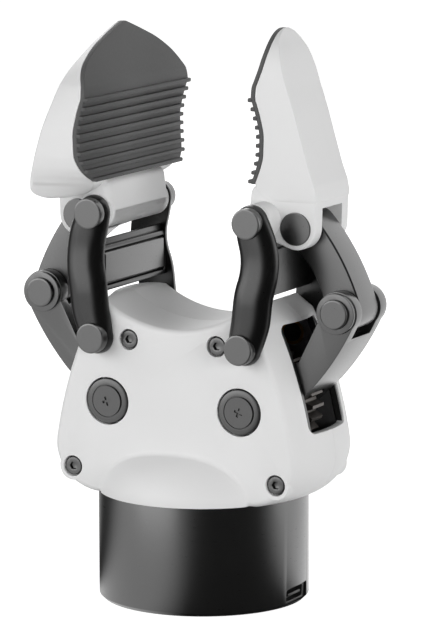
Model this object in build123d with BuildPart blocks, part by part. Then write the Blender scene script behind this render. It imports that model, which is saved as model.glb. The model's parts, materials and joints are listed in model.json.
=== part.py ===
"""Two-finger adaptive robot gripper: a worm-driven five-bar linkage on a round base.

Frame: +Z up, the origin at the centre of the base's underside, the fingers open
along X, and the front of the gripper faces -Y. Millimetres throughout.
"""

import os
from math import pi, sqrt

from build123d import *

os.makedirs("parts", exist_ok=True)

# Base cylinder and its robot-side flange
BASE_RADIUS = 33.65
BASE_HEIGHT = 34.7
BASE_WALL = 2.4
BASE_EDGE = 1.2
FLANGE_THICKNESS = 6.0
FLANGE_GAP = 0.15
BOLT_CIRCLE = 50.0
BOLT_COUNT = 4
BOLT_HOLE_RADIUS = 3.2
BOLT_HEAD_RADIUS = 5.3
BOLT_HEAD_DEPTH = 3.0
DOWEL_RADIUS = 3.0
DOWEL_DEPTH = 4.0
CENTRE_BORE_RADIUS = 6.0

# Signal socket in the side of the base
PORT_TURN = 3.0
PORT_WIDTH = 15.0
PORT_BOTTOM = 2.2
PORT_HEIGHT = 5.6
PORT_CORNER = 0.8
SOCKET_GAP = 0.15
SOCKET_WALL = 0.9
SOCKET_DEPTH = 5.0
TONGUE_INSET = 3.15

# White body
BODY_HALF_DEPTH = 21.6
BODY_WAIST = BASE_RADIUS + 12.65
BODY_WAIST_HEIGHT = BASE_HEIGHT + 17.3
BODY_PLAN_SHIFT = 4.7
SADDLE_HALF = 24.0
SADDLE_LOW = BASE_HEIGHT + 54.3
SADDLE_HIGH = BASE_HEIGHT + 61.8
SHOULDER_X = 34.5
SHOULDER_Z = BASE_HEIGHT + 57.8
SHELL_WALL = 2.4
SHELL_EDGE = 2.0
PARTING_GAP = 0.05
BULGE_TOP = BASE_HEIGHT + 14.3
BULGE_EDGE = 21.0
BULGE_STRAIGHT = BASE_HEIGHT + 2.3
BULGE_MID = (BASE_RADIUS - 3.85, BASE_HEIGHT + 9.5)
BODY_CORNER_MID = (BODY_WAIST - 3.0, BASE_HEIGHT + 5.6)
BODY_SIDE_MID = (BODY_WAIST - 4.3, BASE_HEIGHT + 37.3)
SHOULDER_MID = (30.6, BASE_HEIGHT + 62.6)

# Side slots that the driver links come out of
SLOT_HALF = 12.9
SLOT_BOTTOM = BASE_HEIGHT + 22.8
SLOT_TOP = BASE_HEIGHT + 56.7
SLOT_CORNER = 3.0
SLOT_INNER_X = 27.0

# Pivots of the linkage on the right side, in the closed-loop rest pose
DRIVER_PIVOT = (23.3, BASE_HEIGHT + 29.8)
LOWER_PIVOT = (26.0, BASE_HEIGHT + 50.6)
UPPER_PIVOT = (27.7, BASE_HEIGHT + 89.8)
ELBOW = (52.0, BASE_HEIGHT + 61.5)
FINGER_PIVOT = (38.4, BASE_HEIGHT + 87.3)
OPEN_PIVOT_SHIFT = (-0.57, -1.13)
OPEN_PIVOT_TRAVEL = 1.5

# Longer than anything here: half spaces are cut with it
BEYOND = 400.0

# Fits
RUNNING = 0.05
SIDE_GAP = 0.4
SEAT_GAP = 0.1

# Worm drive
GEAR_MODULE = 1.25
DEDENDUM_SHARE = 1.25
WHEEL_TEETH = 26
WHEEL_HALF_FACE = 4.0
WHEEL_BACKLASH = 0.25
PRESSURE_SLOPE = 0.36
WORM_LENGTH = 15.7
WORM_SHAFT_RADIUS = 3.0
THREAD_ROOT_SINK = 0.4
THREAD_ROOT = 2.5
THREAD_CREST = 1.1
WORM_BOTTOM = BASE_HEIGHT + 11.4
WORM_TOP = BASE_HEIGHT + 46.3
BEARING_RADIUS = 5.5
BEARING_HEIGHT = 4.0
LOWER_BEARING_Z = BASE_HEIGHT + 14.3
UPPER_BEARING_Z = BASE_HEIGHT + 41.3

# Motor and reducer
MOTOR_RADIUS = 14.0
MOTOR_BOTTOM = 9.6
MOTOR_FLAT_INSET = 2.4
ENCODER_HEIGHT = 3.0
ENCODER_RADIUS = 12.0
REDUCER_TOP = BASE_HEIGHT + 11.3
REDUCER_FLANGE_RADIUS = 19.0
REDUCER_FLANGE_THICKNESS = 2.4
REDUCER_SCREW_CIRCLE = 16.5
REDUCER_SCREW_COUNT = 4
BOARD_THICKNESS = 1.6

# Inner frame
DECK_BOTTOM = BASE_HEIGHT - 2.7
DECK_THICKNESS = 4.6
PLINTH_HALF = 24.0
PLINTH_HEIGHT = 8.2
CHEEK_INNER = 11.3
CHEEK_OUTER = 16.8
RIM_INSET = 0.5
WEB_WIDTH = 15.0

# Driver link
DRIVER_HALF = 10.9
HUB_RADIUS = 9.0
EAR_RADIUS = 6.8
EAR_RING_RADIUS = 6.4
EAR_RING_OUT = 12.4
ELBOW_EAR_INNER = (45.6, BASE_HEIGHT + 58.6)
DRIVER_INNER = (38.9, BASE_HEIGHT + 45.3)
HUB_TOP = (20.5, BASE_HEIGHT + 38.3)
HUB_FOOT = (27.5, BASE_HEIGHT + 21.9)
DRIVER_FOOT = (43.6, BASE_HEIGHT + 37.3)
DRIVER_OUTER_MID = (52.4, BASE_HEIGHT + 48.7)
ELBOW_EAR_OUTER = (58.6, BASE_HEIGHT + 60.1)
FORK_HALF = 6.8
FORK_RADIUS = 8.4
FORK_REACH = 25.2
AXLE_RADIUS = 4.0
AXLE_END = 16.8

# Pins and their round heads
PIN_RADIUS = 2.4
ELBOW_HEAD_RADIUS = 4.7
ELBOW_HEAD_OUT = 13.8
LOWER_PIN_RADIUS = 3.0
LINK_HEAD_RADIUS = 4.85
LOWER_HEAD_OUT = 28.1
UPPER_HEAD_OUT = 25.9
FINGER_HEAD_RADIUS = 5.2
BUSH_WALL = 1.0

# Outer link
OUTER_LINK_HALF = 6.4
OUTER_EYE_RADIUS = 6.3
OUTER_LINK_FOOT_OUT = (58.0, BASE_HEIGHT + 63.3)
OUTER_LINK_MID_OUT = (52.6, BASE_HEIGHT + 74.9)
OUTER_LINK_TOP_OUT = (43.0, BASE_HEIGHT + 88.9)
OUTER_LINK_TOP_IN = (33.2, BASE_HEIGHT + 82.3)
OUTER_LINK_MID_IN = (41.6, BASE_HEIGHT + 74.3)
OUTER_LINK_FOOT_IN = (46.0, BASE_HEIGHT + 63.3)

# Inner link: a front and a rear arm joined by a cross panel
ARM_HALF_WIDTH = 5.6
ARM_DEPTH = 4.8
ARM_ROUNDING = 2.4
ARM_LOWER_MIDDLE = 24.5
ARM_UPPER_MIDDLE = 22.8
ARM_BENDS_LOW = ((28.2, BASE_HEIGHT + 58.8), (29.1, BASE_HEIGHT + 67.3))
ARM_BEND_HIGH = (31.6, BASE_HEIGHT + 77.1)
ARM_BEND_RADIUS = 9.0
ARM_LOWER_OUT = ARM_LOWER_MIDDLE + ARM_DEPTH / 2
ARM_LOWER_IN = ARM_LOWER_MIDDLE - ARM_DEPTH / 2
ARM_UPPER_OUT = ARM_UPPER_MIDDLE + ARM_DEPTH / 2
PANEL_BOTTOM = BASE_HEIGHT + 64.6
PANEL_TOP = BASE_HEIGHT + 79.1
PANEL_FACE = 24.6
PANEL_THICKNESS = 2.8
PANEL_SIDE_RIM = 1.2
PANEL_EDGE_RIM = 1.6
PANEL_RECESS = 1.3
PANEL_CORNER = 1.2
LIP_HEIGHT = 2.0
LIP_SETBACK = 0.8
LIP_THICKNESS = 1.0
COVER_GAP = 0.6
COVER_THICKNESS = 1.6
COVER_EDGE = 0.5

# Finger
FINGER_RISE = 148.5
NECK_HALF = 20.0
NECK_RADIUS = 5.6
NECK_FRONT = (26.0, BASE_HEIGHT + 97.4)
NECK_BACK = (31.0, BASE_HEIGHT + 97.4)
NECK_TOP_RADIUS = 3.0
WALL_HALF = 12.2
LOBE_RADIUS = 6.7
LOBE_INNER = 7.2
LOBE_TOP = (42.2, BASE_HEIGHT + 96.5)
LOBE_TOP_RADIUS = 3.2
FINGER_HEAD_OUT = 12.6
CAVITY_FRONT = 29.6
CAVITY_TOP = BASE_HEIGHT + 96.8
BACK_WALL = 3.4
TONGUE_TOP = BASE_HEIGHT + 94.8
TONGUE_FOOT = BASE_HEIGHT + 93.6
TONGUE_WALL = 1.5
PAD_RISE = 100.5
PAD_BOTTOM = BASE_HEIGHT + PAD_RISE
PAD_THICKNESS = 1.6
RIB_COUNT = 10
RIB_START = 0.8
RIB_SPACING = 2.82
RIB_HEIGHT = 1.2
RIB_WIDTH = 1.3
RIB_ROOT = 0.8

# The two fingers share one profile and differ in width, as the photograph shows them
RIGHT_HALF = 12.4
LEFT_HALF = 35.2
RIGHT_TIP_SHARE = 0.6
LEFT_TIP_SHARE = 1.0

# Stations from the foot of the head to the tip: height above the base, x of the pad's
# face, x of the back, and the half widths the pointed arch leaves at the face and back
FINGER_STATIONS = (
    (94.1, 35.0, 45.0, 26.0, 30.6),
    (96.1, 28.0, 45.6, 22.4, 31.2),
    (PAD_RISE, 23.0, 45.0, 27.9, 32.1),
    (102.3, 23.6, 44.4, 31.0, 32.7),
    (105.3, 24.7, 43.3, 33.8, 33.5),
    (109.3, 25.7, 42.1, 35.1, 34.0),
    (115.3, 25.9, 40.3, 35.2, 33.9),
    (121.3, 24.8, 38.6, 35.2, 32.4),
    (125.3, 23.6, 37.3, 35.2, 31.2),
    (127.3, 23.0, 36.7, 35.1, 30.5),
    (130.3, 23.2, 35.6, 34.5, 29.6),
    (133.3, 24.3, 34.7, 32.7, 27.2),
    (136.3, 25.4, 33.8, 29.9, 23.6),
    (139.3, 26.1, 32.9, 25.3, 19.1),
    (142.3, 26.7, 31.9, 19.2, 14.3),
    (145.3, 27.1, 30.6, 10.9, 8.7),
    (147.5, 27.3, 29.9, 4.2, 3.6),
    (FINGER_RISE, 27.4, 29.5, 1.0, 0.9),
)

# Fasteners
SCREW_SPOTS = ((15.5, BASE_HEIGHT + 50.1), (35.9, BASE_HEIGHT + 7.7))
SCREW_HEAD_RADIUS = 2.75
REDUCER_HEAD_RADIUS = 2.25
SCREW_POCKET_RADIUS = 3.4
SCREW_SHANK_RADIUS = 1.5
SCREW_HEAD_HEIGHT = 1.9
SCREW_SOCKET_RADIUS = 1.35
SOCKET_SIDES = 6
SCREW_POCKET_DEPTH = 2.4
CAP_RADIUS = 7.2
CAP_HOLE_RADIUS = 7.7
CAP_DISC_RADIUS = 5.0
CAP_DISC_OUT = 0.35
CAP_CROSS_REACH = 0.9
CAP_CROSS_WIDTH = 0.6
CAP_CROSS_TURN = 20.0
CAP_CROSS_ARMS = 4

PITCH_RADIUS = GEAR_MODULE * WHEEL_TEETH / 2
WORM_PITCH_RADIUS = DRIVER_PIVOT[0] - PITCH_RADIUS
AXIAL_PITCH = pi * GEAR_MODULE
BASE_BORE = BASE_RADIUS - BASE_WALL
PORT_PLANE = Plane.YZ.rotated((0, PORT_TURN, 0))
PORT_MIDDLE = (0, PORT_BOTTOM + PORT_HEIGHT / 2)


def front_plane(y):
    """Sketch plane facing -Y at depth y, with its x along +X and its y along +Z."""
    return Plane(origin=(0, y, 0), x_dir=(1, 0, 0), z_dir=(0, -1, 0))


def side_plane(x):
    """Sketch plane facing +X at x, with its x along +Y and its y along +Z."""
    return Plane(origin=(x, 0, 0), x_dir=(0, 1, 0), z_dir=(1, 0, 0))


def round_bar(centre, radius, y_low, y_high):
    """A cylinder along Y at an (x, z) centre, between two depths."""
    with BuildPart() as bar:
        with BuildSketch(front_plane(y_high)):
            with Locations(centre):
                Circle(radius)
        extrude(amount=y_high - y_low)
    return bar.part


def save(part, name):
    """Label a finished piece and write its STEP file."""
    part.label = name
    export_step(part, f"parts/{name}.step")


def mirrored(part):
    """The same piece for the left side."""
    with BuildPart() as twin:
        mirror(part, about=Plane.YZ)
    return twin.part


def body_outline(plane, inset):
    """Front view of the white body on a plane, shrunk by an inset."""
    sag = SADDLE_HIGH - SADDLE_LOW
    saddle_radius = (SADDLE_HALF**2 + sag**2) / (2 * sag)
    half_way = SADDLE_HALF / 2
    saddle_mid = SADDLE_LOW + saddle_radius - sqrt(saddle_radius**2 - half_way**2)
    with BuildSketch(plane) as outline:
        with BuildLine():
            Line((0, BASE_HEIGHT), (BASE_RADIUS, BASE_HEIGHT))
            ThreePointArc((BASE_RADIUS, BASE_HEIGHT), BODY_CORNER_MID, (BODY_WAIST, BODY_WAIST_HEIGHT))
            ThreePointArc((BODY_WAIST, BODY_WAIST_HEIGHT), BODY_SIDE_MID, (SHOULDER_X, SHOULDER_Z))
            ThreePointArc((SHOULDER_X, SHOULDER_Z), SHOULDER_MID, (SADDLE_HALF, SADDLE_HIGH))
            ThreePointArc((SADDLE_HALF, SADDLE_HIGH), (half_way, saddle_mid), (0, SADDLE_LOW))
            mirror(about=Plane.YZ)
        make_face()
        if inset:
            offset(amount=-inset, mode=Mode.REPLACE)
    return outline.sketch


def body_solid(inset):
    """The white body's outer form, shrunk by an inset: convex sides, flat front and rear."""
    depth = BODY_HALF_DEPTH - inset
    foot = BASE_HEIGHT + inset
    axis = Axis((-BODY_PLAN_SHIFT, 0, 0), (0, 0, 1))
    with BuildPart() as solid:
        with BuildSketch(front_plane(0)):
            with BuildLine():
                ThreePointArc(
                    (BASE_RADIUS - inset, foot),
                    (BODY_CORNER_MID[0] - inset, BODY_CORNER_MID[1] + inset / 2),
                    (BODY_WAIST - inset, BODY_WAIST_HEIGHT),
                )
                ThreePointArc(
                    (BODY_WAIST - inset, BODY_WAIST_HEIGHT),
                    (BODY_SIDE_MID[0] - inset, BODY_SIDE_MID[1]),
                    (SHOULDER_X - inset, SHOULDER_Z),
                )
                Polyline(
                    (SHOULDER_X - inset, SHOULDER_Z),
                    (SADDLE_HALF, SADDLE_HIGH + 2 * SHELL_WALL),
                    (-BODY_PLAN_SHIFT, SADDLE_HIGH + 2 * SHELL_WALL),
                    (-BODY_PLAN_SHIFT, foot),
                    (BASE_RADIUS - inset, foot),
                )
            make_face()
        revolve(axis=axis)
        with BuildSketch(side_plane(0)):
            Rectangle(BEYOND, BEYOND)
        extrude(amount=BEYOND, mode=Mode.INTERSECT)
        mirror(about=Plane.YZ)
        extrude(body_outline(front_plane(depth), inset), amount=2 * depth, mode=Mode.INTERSECT)
    return solid.part


def front_half(part, y):
    """What lies in front of the plane at depth y."""
    with BuildPart() as half:
        add(part)
        with BuildSketch(front_plane(y)):
            Rectangle(BEYOND, BEYOND)
        extrude(amount=BEYOND, mode=Mode.INTERSECT)
    return half.part


def slot_box(half, bottom, top):
    """The two side slots as rounded blocks, right and left."""
    height = top - bottom
    with BuildPart() as blocks:
        with BuildSketch(side_plane(SLOT_INNER_X)):
            with Locations((0, bottom + height / 2)):
                RectangleRounded(2 * half, height, SLOT_CORNER)
        extrude(amount=BODY_WAIST)
        mirror(about=Plane.YZ)
    return blocks.part


def on_both_sides(spots):
    """Mirror (x, z) spots across the middle plane."""
    return [(side * x, z) for x, z in spots for side in (1, -1)]


# Base: the round housing that everything stands in
with BuildPart() as base_housing:
    with BuildSketch():
        Circle(BASE_RADIUS)
        Circle(BASE_BORE, mode=Mode.SUBTRACT)
    extrude(amount=BASE_HEIGHT)
    outer_rim = base_housing.edges().filter_by(GeomType.CIRCLE).group_by(Axis.Z)[0]
    chamfer(outer_rim.sort_by(SortBy.RADIUS)[-1], BASE_EDGE)
    with BuildSketch(PORT_PLANE):
        with Locations((0, PORT_BOTTOM + PORT_HEIGHT / 2)):
            RectangleRounded(PORT_WIDTH, PORT_HEIGHT, PORT_CORNER)
    extrude(amount=BASE_RADIUS, mode=Mode.SUBTRACT)
save(base_housing.part, "base_housing")

# Socket: a rounded loop around a flat tongue, seen in the port
with BuildPart() as connector_socket:
    with BuildSketch(PORT_PLANE.offset(BASE_RADIUS - SOCKET_DEPTH)):
        with Locations(PORT_MIDDLE):
            RectangleRounded(PORT_WIDTH - 2 * SOCKET_GAP, PORT_HEIGHT - 2 * SOCKET_GAP, PORT_CORNER / 2)
    extrude(amount=SOCKET_DEPTH - 2 * SOCKET_WALL)
    with BuildSketch(PORT_PLANE.offset(BASE_RADIUS - SOCKET_DEPTH + SOCKET_WALL)):
        with Locations(PORT_MIDDLE):
            inner_width = PORT_WIDTH - 2 * TONGUE_INSET + SOCKET_DEPTH / 2
            RectangleRounded(inner_width, PORT_HEIGHT - 2 * SOCKET_WALL, PORT_CORNER)
            Rectangle(PORT_WIDTH - 2 * TONGUE_INSET, SOCKET_WALL, mode=Mode.SUBTRACT)
    extrude(amount=SOCKET_DEPTH, mode=Mode.SUBTRACT)
save(connector_socket.part, "connector_socket")

# Flange that bolts to the robot's tool plate, notched behind the socket
with BuildPart() as mount_flange:
    with BuildSketch():
        Circle(BASE_BORE - FLANGE_GAP)
    extrude(amount=FLANGE_THICKNESS)
    with BuildSketch(Plane.XY.offset(FLANGE_THICKNESS)):
        Circle(CENTRE_BORE_RADIUS)
    extrude(amount=-FLANGE_THICKNESS, mode=Mode.SUBTRACT)
    with Locations(Plane.XY.offset(FLANGE_THICKNESS)):
        with PolarLocations(BOLT_CIRCLE / 2, BOLT_COUNT, start_angle=180 / BOLT_COUNT):
            CounterBoreHole(BOLT_HOLE_RADIUS, BOLT_HEAD_RADIUS, BOLT_HEAD_DEPTH)
    with BuildSketch():
        with Locations((-BOLT_CIRCLE / 2, 0)):
            Circle(DOWEL_RADIUS)
    extrude(amount=DOWEL_DEPTH, mode=Mode.SUBTRACT)
    with BuildSketch(PORT_PLANE.offset(BASE_RADIUS - SOCKET_DEPTH - SOCKET_WALL)):
        with Locations(PORT_MIDDLE):
            Rectangle(PORT_WIDTH + 2 * SOCKET_WALL, 2 * FLANGE_THICKNESS)
    extrude(amount=SOCKET_DEPTH, mode=Mode.SUBTRACT)
save(mount_flange.part, "mount_flange")

# Drive train on the axis: encoder, motor, planetary reducer
with BuildPart() as encoder:
    with BuildSketch(Plane.XY.offset(MOTOR_BOTTOM - ENCODER_HEIGHT)):
        Circle(ENCODER_RADIUS)
    extrude(amount=ENCODER_HEIGHT)
save(encoder.part, "encoder")

FLANGE_FACE = DECK_BOTTOM - REDUCER_FLANGE_THICKNESS
with BuildPart() as motor:
    with BuildSketch(Plane.XY.offset(MOTOR_BOTTOM)):
        Circle(MOTOR_RADIUS)
    extrude(amount=FLANGE_FACE - MOTOR_BOTTOM)
    chamfer(motor.edges().filter_by(GeomType.CIRCLE).group_by(Axis.Z)[0], BASE_EDGE)
    with BuildSketch(Plane.XY.offset(MOTOR_BOTTOM + MOTOR_FLAT_INSET)):
        with PolarLocations(MOTOR_RADIUS, 2):
            Rectangle(2 * BASE_EDGE, MOTOR_RADIUS)
    extrude(amount=FLANGE_FACE - MOTOR_BOTTOM - 2 * MOTOR_FLAT_INSET, mode=Mode.SUBTRACT)
save(motor.part, "motor")

with BuildPart() as planetary_reducer:
    with BuildSketch(Plane.XY.offset(FLANGE_FACE)):
        Circle(REDUCER_FLANGE_RADIUS)
        with PolarLocations(REDUCER_SCREW_CIRCLE, REDUCER_SCREW_COUNT):
            Circle(SCREW_SHANK_RADIUS + RUNNING, mode=Mode.SUBTRACT)
    extrude(amount=REDUCER_FLANGE_THICKNESS)
    with BuildSketch(Plane.XY.offset(DECK_BOTTOM)):
        Circle(MOTOR_RADIUS)
    extrude(amount=REDUCER_TOP - DECK_BOTTOM)
save(planetary_reducer.part, "planetary_reducer")

with BuildPart() as reducer_screws:
    with BuildSketch(Plane.XY.offset(FLANGE_FACE - SCREW_HEAD_HEIGHT)):
        with PolarLocations(REDUCER_SCREW_CIRCLE, REDUCER_SCREW_COUNT):
            Circle(REDUCER_HEAD_RADIUS)
            RegularPolygon(SCREW_SOCKET_RADIUS, SOCKET_SIDES, mode=Mode.SUBTRACT)
    extrude(amount=SCREW_HEAD_HEIGHT)
    with BuildSketch(Plane.XY.offset(FLANGE_FACE)):
        with PolarLocations(REDUCER_SCREW_CIRCLE, REDUCER_SCREW_COUNT):
            Circle(SCREW_SHANK_RADIUS)
    extrude(amount=REDUCER_FLANGE_THICKNESS + DECK_THICKNESS - SIDE_GAP)
save(reducer_screws.part, "reducer_screws")

BOARD_Z = (MOTOR_BOTTOM + FLANGE_FACE) / 2
with BuildPart() as control_board:
    with BuildSketch(Plane.XY.offset(BOARD_Z)):
        Circle(BASE_BORE - FLANGE_GAP)
        Circle(MOTOR_RADIUS + SIDE_GAP, mode=Mode.SUBTRACT)
    extrude(amount=BOARD_THICKNESS)
save(control_board.part, "control_board")

# White shells, front and rear, parted at the middle plane; a round foot swells out of them
CHEEK_BODY = body_solid(SHELL_WALL + PARTING_GAP + SIDE_GAP)
SLOTS = slot_box(SLOT_HALF, SLOT_BOTTOM, SLOT_TOP)
with BuildPart() as outer_body:
    add(body_solid(0))
    with BuildSketch(front_plane(0)):
        with BuildLine():
            Polyline((0, BASE_HEIGHT), (BASE_RADIUS, BASE_HEIGHT), (BASE_RADIUS, BULGE_STRAIGHT))
            ThreePointArc((BASE_RADIUS, BULGE_STRAIGHT), BULGE_MID, (BULGE_EDGE, BULGE_TOP))
            Polyline((BULGE_EDGE, BULGE_TOP), (0, BULGE_TOP), (0, BASE_HEIGHT))
        make_face()
    revolve(axis=Axis.Z)
    front_face = outer_body.faces().filter_by(Axis.Y).sort_by(Axis.Y)[0]
    fillet(front_face.edges(), SHELL_EDGE)

with BuildPart() as front_shell:
    add(front_half(outer_body.part, -PARTING_GAP))
    add(front_half(body_solid(SHELL_WALL), SHELL_WALL), mode=Mode.SUBTRACT)
    with BuildSketch(Plane.XY.offset(BASE_HEIGHT)):
        Circle(BASE_BORE - FLANGE_GAP)
    extrude(amount=SHELL_WALL, mode=Mode.SUBTRACT)
    add(SLOTS, mode=Mode.SUBTRACT)
    POST_DEPTH = BODY_HALF_DEPTH - CHEEK_OUTER
    with BuildSketch(front_plane(-CHEEK_OUTER)):
        with Locations(*on_both_sides(SCREW_SPOTS)):
            Circle(SCREW_POCKET_RADIUS + SHELL_WALL / 2)
    extrude(amount=POST_DEPTH)
    with BuildSketch(front_plane(-CHEEK_OUTER)):
        with Locations(*on_both_sides([DRIVER_PIVOT])):
            Circle(CAP_HOLE_RADIUS + SHELL_WALL / 2)
    extrude(amount=POST_DEPTH)
    with BuildSketch(front_plane(-BODY_HALF_DEPTH)):
        with Locations(*on_both_sides(SCREW_SPOTS)):
            Circle(SCREW_POCKET_RADIUS)
    extrude(amount=-SCREW_POCKET_DEPTH, mode=Mode.SUBTRACT)
    with BuildSketch(front_plane(-BODY_HALF_DEPTH)):
        with Locations(*on_both_sides(SCREW_SPOTS)):
            Circle(SCREW_SHANK_RADIUS + RUNNING)
        with Locations(*on_both_sides([DRIVER_PIVOT])):
            Circle(CAP_HOLE_RADIUS)
        with Locations(*on_both_sides([LOWER_PIVOT])):
            Circle(LOWER_PIN_RADIUS + SIDE_GAP)
    extrude(amount=-POST_DEPTH, mode=Mode.SUBTRACT)
save(front_shell.part, "front_shell")

with BuildPart() as rear_shell:
    mirror(front_shell.part, about=Plane.XZ)
save(rear_shell.part, "rear_shell")

# Screws that hold the shells to the frame's cheeks
with BuildPart() as shell_screws:
    with BuildSketch(front_plane(-BODY_HALF_DEPTH + SCREW_POCKET_DEPTH)):
        with Locations(*on_both_sides(SCREW_SPOTS)):
            Circle(SCREW_HEAD_RADIUS)
            RegularPolygon(SCREW_SOCKET_RADIUS, SOCKET_SIDES, mode=Mode.SUBTRACT)
    extrude(amount=SCREW_HEAD_HEIGHT)
    with BuildSketch(front_plane(-BODY_HALF_DEPTH + SCREW_POCKET_DEPTH)):
        with Locations(*on_both_sides(SCREW_SPOTS)):
            Circle(SCREW_SHANK_RADIUS)
    extrude(amount=-(CHEEK_OUTER - CHEEK_INNER))
    mirror(about=Plane.XZ)
save(shell_screws.part, "shell_screws")

# Caps over the driver axles, each a ring with a raised disc and a cross recess
with BuildPart() as pivot_caps:
    with BuildSketch(front_plane(-CHEEK_OUTER - SEAT_GAP)):
        with Locations(*on_both_sides([DRIVER_PIVOT])):
            Circle(CAP_RADIUS)
    extrude(amount=BODY_HALF_DEPTH - CHEEK_OUTER - SEAT_GAP)
    with BuildSketch(front_plane(-BODY_HALF_DEPTH)):
        with Locations(*on_both_sides([DRIVER_PIVOT])):
            Circle(CAP_DISC_RADIUS)
    extrude(amount=CAP_DISC_OUT)
    with BuildSketch(front_plane(-BODY_HALF_DEPTH - CAP_DISC_OUT)):
        with Locations(*on_both_sides([DRIVER_PIVOT])):
            with PolarLocations(CAP_CROSS_REACH, CAP_CROSS_ARMS, start_angle=CAP_CROSS_TURN):
                Rectangle(CAP_CROSS_REACH, CAP_CROSS_WIDTH)
    extrude(amount=-2 * CAP_DISC_OUT, mode=Mode.SUBTRACT)
    mirror(about=Plane.XZ)
save(pivot_caps.part, "pivot_caps")

# Inner frame: round deck, front and rear cheeks, bearing seats and slot rims
with BuildPart() as inner_frame:
    with BuildSketch(front_plane(CHEEK_OUTER)):
        Rectangle(BEYOND, BEYOND)
    extrude(amount=2 * CHEEK_OUTER)
    with BuildSketch(front_plane(CHEEK_INNER)):
        Rectangle(BEYOND, BEYOND)
    extrude(amount=2 * CHEEK_INNER, mode=Mode.SUBTRACT)
    add(CHEEK_BODY, mode=Mode.INTERSECT)
    with BuildSketch(Plane.XY.offset(DECK_BOTTOM)):
        Circle(BASE_BORE - FLANGE_GAP - SIDE_GAP)
    extrude(amount=DECK_THICKNESS)
    with BuildSketch(Plane.XY.offset(DECK_BOTTOM)):
        Rectangle(2 * PLINTH_HALF, 2 * CHEEK_OUTER)
    extrude(amount=PLINTH_HEIGHT)
    with BuildSketch(Plane.XY.offset(LOWER_BEARING_Z)):
        Rectangle(WEB_WIDTH, 2 * CHEEK_OUTER)
    extrude(amount=BEARING_HEIGHT)
    with BuildSketch(Plane.XY.offset(UPPER_BEARING_Z)):
        Rectangle(WEB_WIDTH, 2 * CHEEK_OUTER)
    extrude(amount=BEARING_HEIGHT)
    with BuildSketch(Plane.XY.offset(DECK_BOTTOM)):
        Circle(MOTOR_RADIUS + RUNNING)
    extrude(amount=REDUCER_TOP - DECK_BOTTOM, mode=Mode.SUBTRACT)
    with BuildSketch(Plane.XY.offset(LOWER_BEARING_Z)):
        Circle(BEARING_RADIUS + RUNNING)
    extrude(amount=UPPER_BEARING_Z + BEARING_HEIGHT - LOWER_BEARING_Z, mode=Mode.SUBTRACT)
    with BuildSketch(Plane.XY.offset(DECK_BOTTOM)):
        with PolarLocations(REDUCER_SCREW_CIRCLE, REDUCER_SCREW_COUNT):
            Circle(SCREW_SHANK_RADIUS + RUNNING)
    extrude(amount=DECK_THICKNESS, mode=Mode.SUBTRACT)
    with BuildSketch(front_plane(CHEEK_OUTER)):
        with Locations(*on_both_sides([DRIVER_PIVOT])):
            Circle(AXLE_RADIUS + BUSH_WALL + RUNNING)
        with Locations(*on_both_sides([LOWER_PIVOT])):
            Circle(LOWER_PIN_RADIUS + BUSH_WALL + RUNNING)
        with Locations(*on_both_sides(SCREW_SPOTS)):
            Circle(SCREW_SHANK_RADIUS + RUNNING)
    extrude(amount=2 * CHEEK_OUTER, mode=Mode.SUBTRACT)
save(inner_frame.part, "inner_frame")

# Dark rims that line the side slots, one at the front and one at the rear of each
with BuildPart() as slot_rims:
    add(slot_box(SLOT_HALF - SEAT_GAP, SLOT_BOTTOM + SEAT_GAP, SLOT_TOP - SEAT_GAP))
    add(body_solid(RIM_INSET), mode=Mode.INTERSECT)
    add(body_solid(SHELL_WALL), mode=Mode.SUBTRACT)
    with BuildSketch(front_plane(CHEEK_INNER)):
        Rectangle(BEYOND, BEYOND)
    extrude(amount=2 * CHEEK_INNER, mode=Mode.SUBTRACT)
save(slot_rims.part, "slot_rims")

# Bushes in the cheeks for the driver axles and the lower pins
with BuildPart() as axle_bushes:
    for y_high in (CHEEK_OUTER, -CHEEK_INNER):
        with BuildSketch(front_plane(y_high)):
            with Locations(*on_both_sides([DRIVER_PIVOT])):
                Circle(AXLE_RADIUS + BUSH_WALL)
                Circle(AXLE_RADIUS + RUNNING, mode=Mode.SUBTRACT)
        extrude(amount=CHEEK_OUTER - CHEEK_INNER)
save(axle_bushes.part, "axle_bushes")

with BuildPart() as pin_bushes:
    for y_high in (CHEEK_OUTER, -CHEEK_INNER):
        with BuildSketch(front_plane(y_high)):
            with Locations(*on_both_sides([LOWER_PIVOT])):
                Circle(LOWER_PIN_RADIUS + BUSH_WALL)
                Circle(LOWER_PIN_RADIUS + RUNNING, mode=Mode.SUBTRACT)
        extrude(amount=CHEEK_OUTER - CHEEK_INNER)
save(pin_bushes.part, "pin_bushes")

# Worm on the vertical axis, with a bearing below and above
with BuildPart() as worm_bearings:
    for z_low in (LOWER_BEARING_Z, UPPER_BEARING_Z):
        with BuildSketch(Plane.XY.offset(z_low)):
            Circle(BEARING_RADIUS)
            Circle(WORM_SHAFT_RADIUS + RUNNING, mode=Mode.SUBTRACT)
        extrude(amount=BEARING_HEIGHT)
save(worm_bearings.part, "worm_bearings")

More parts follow.
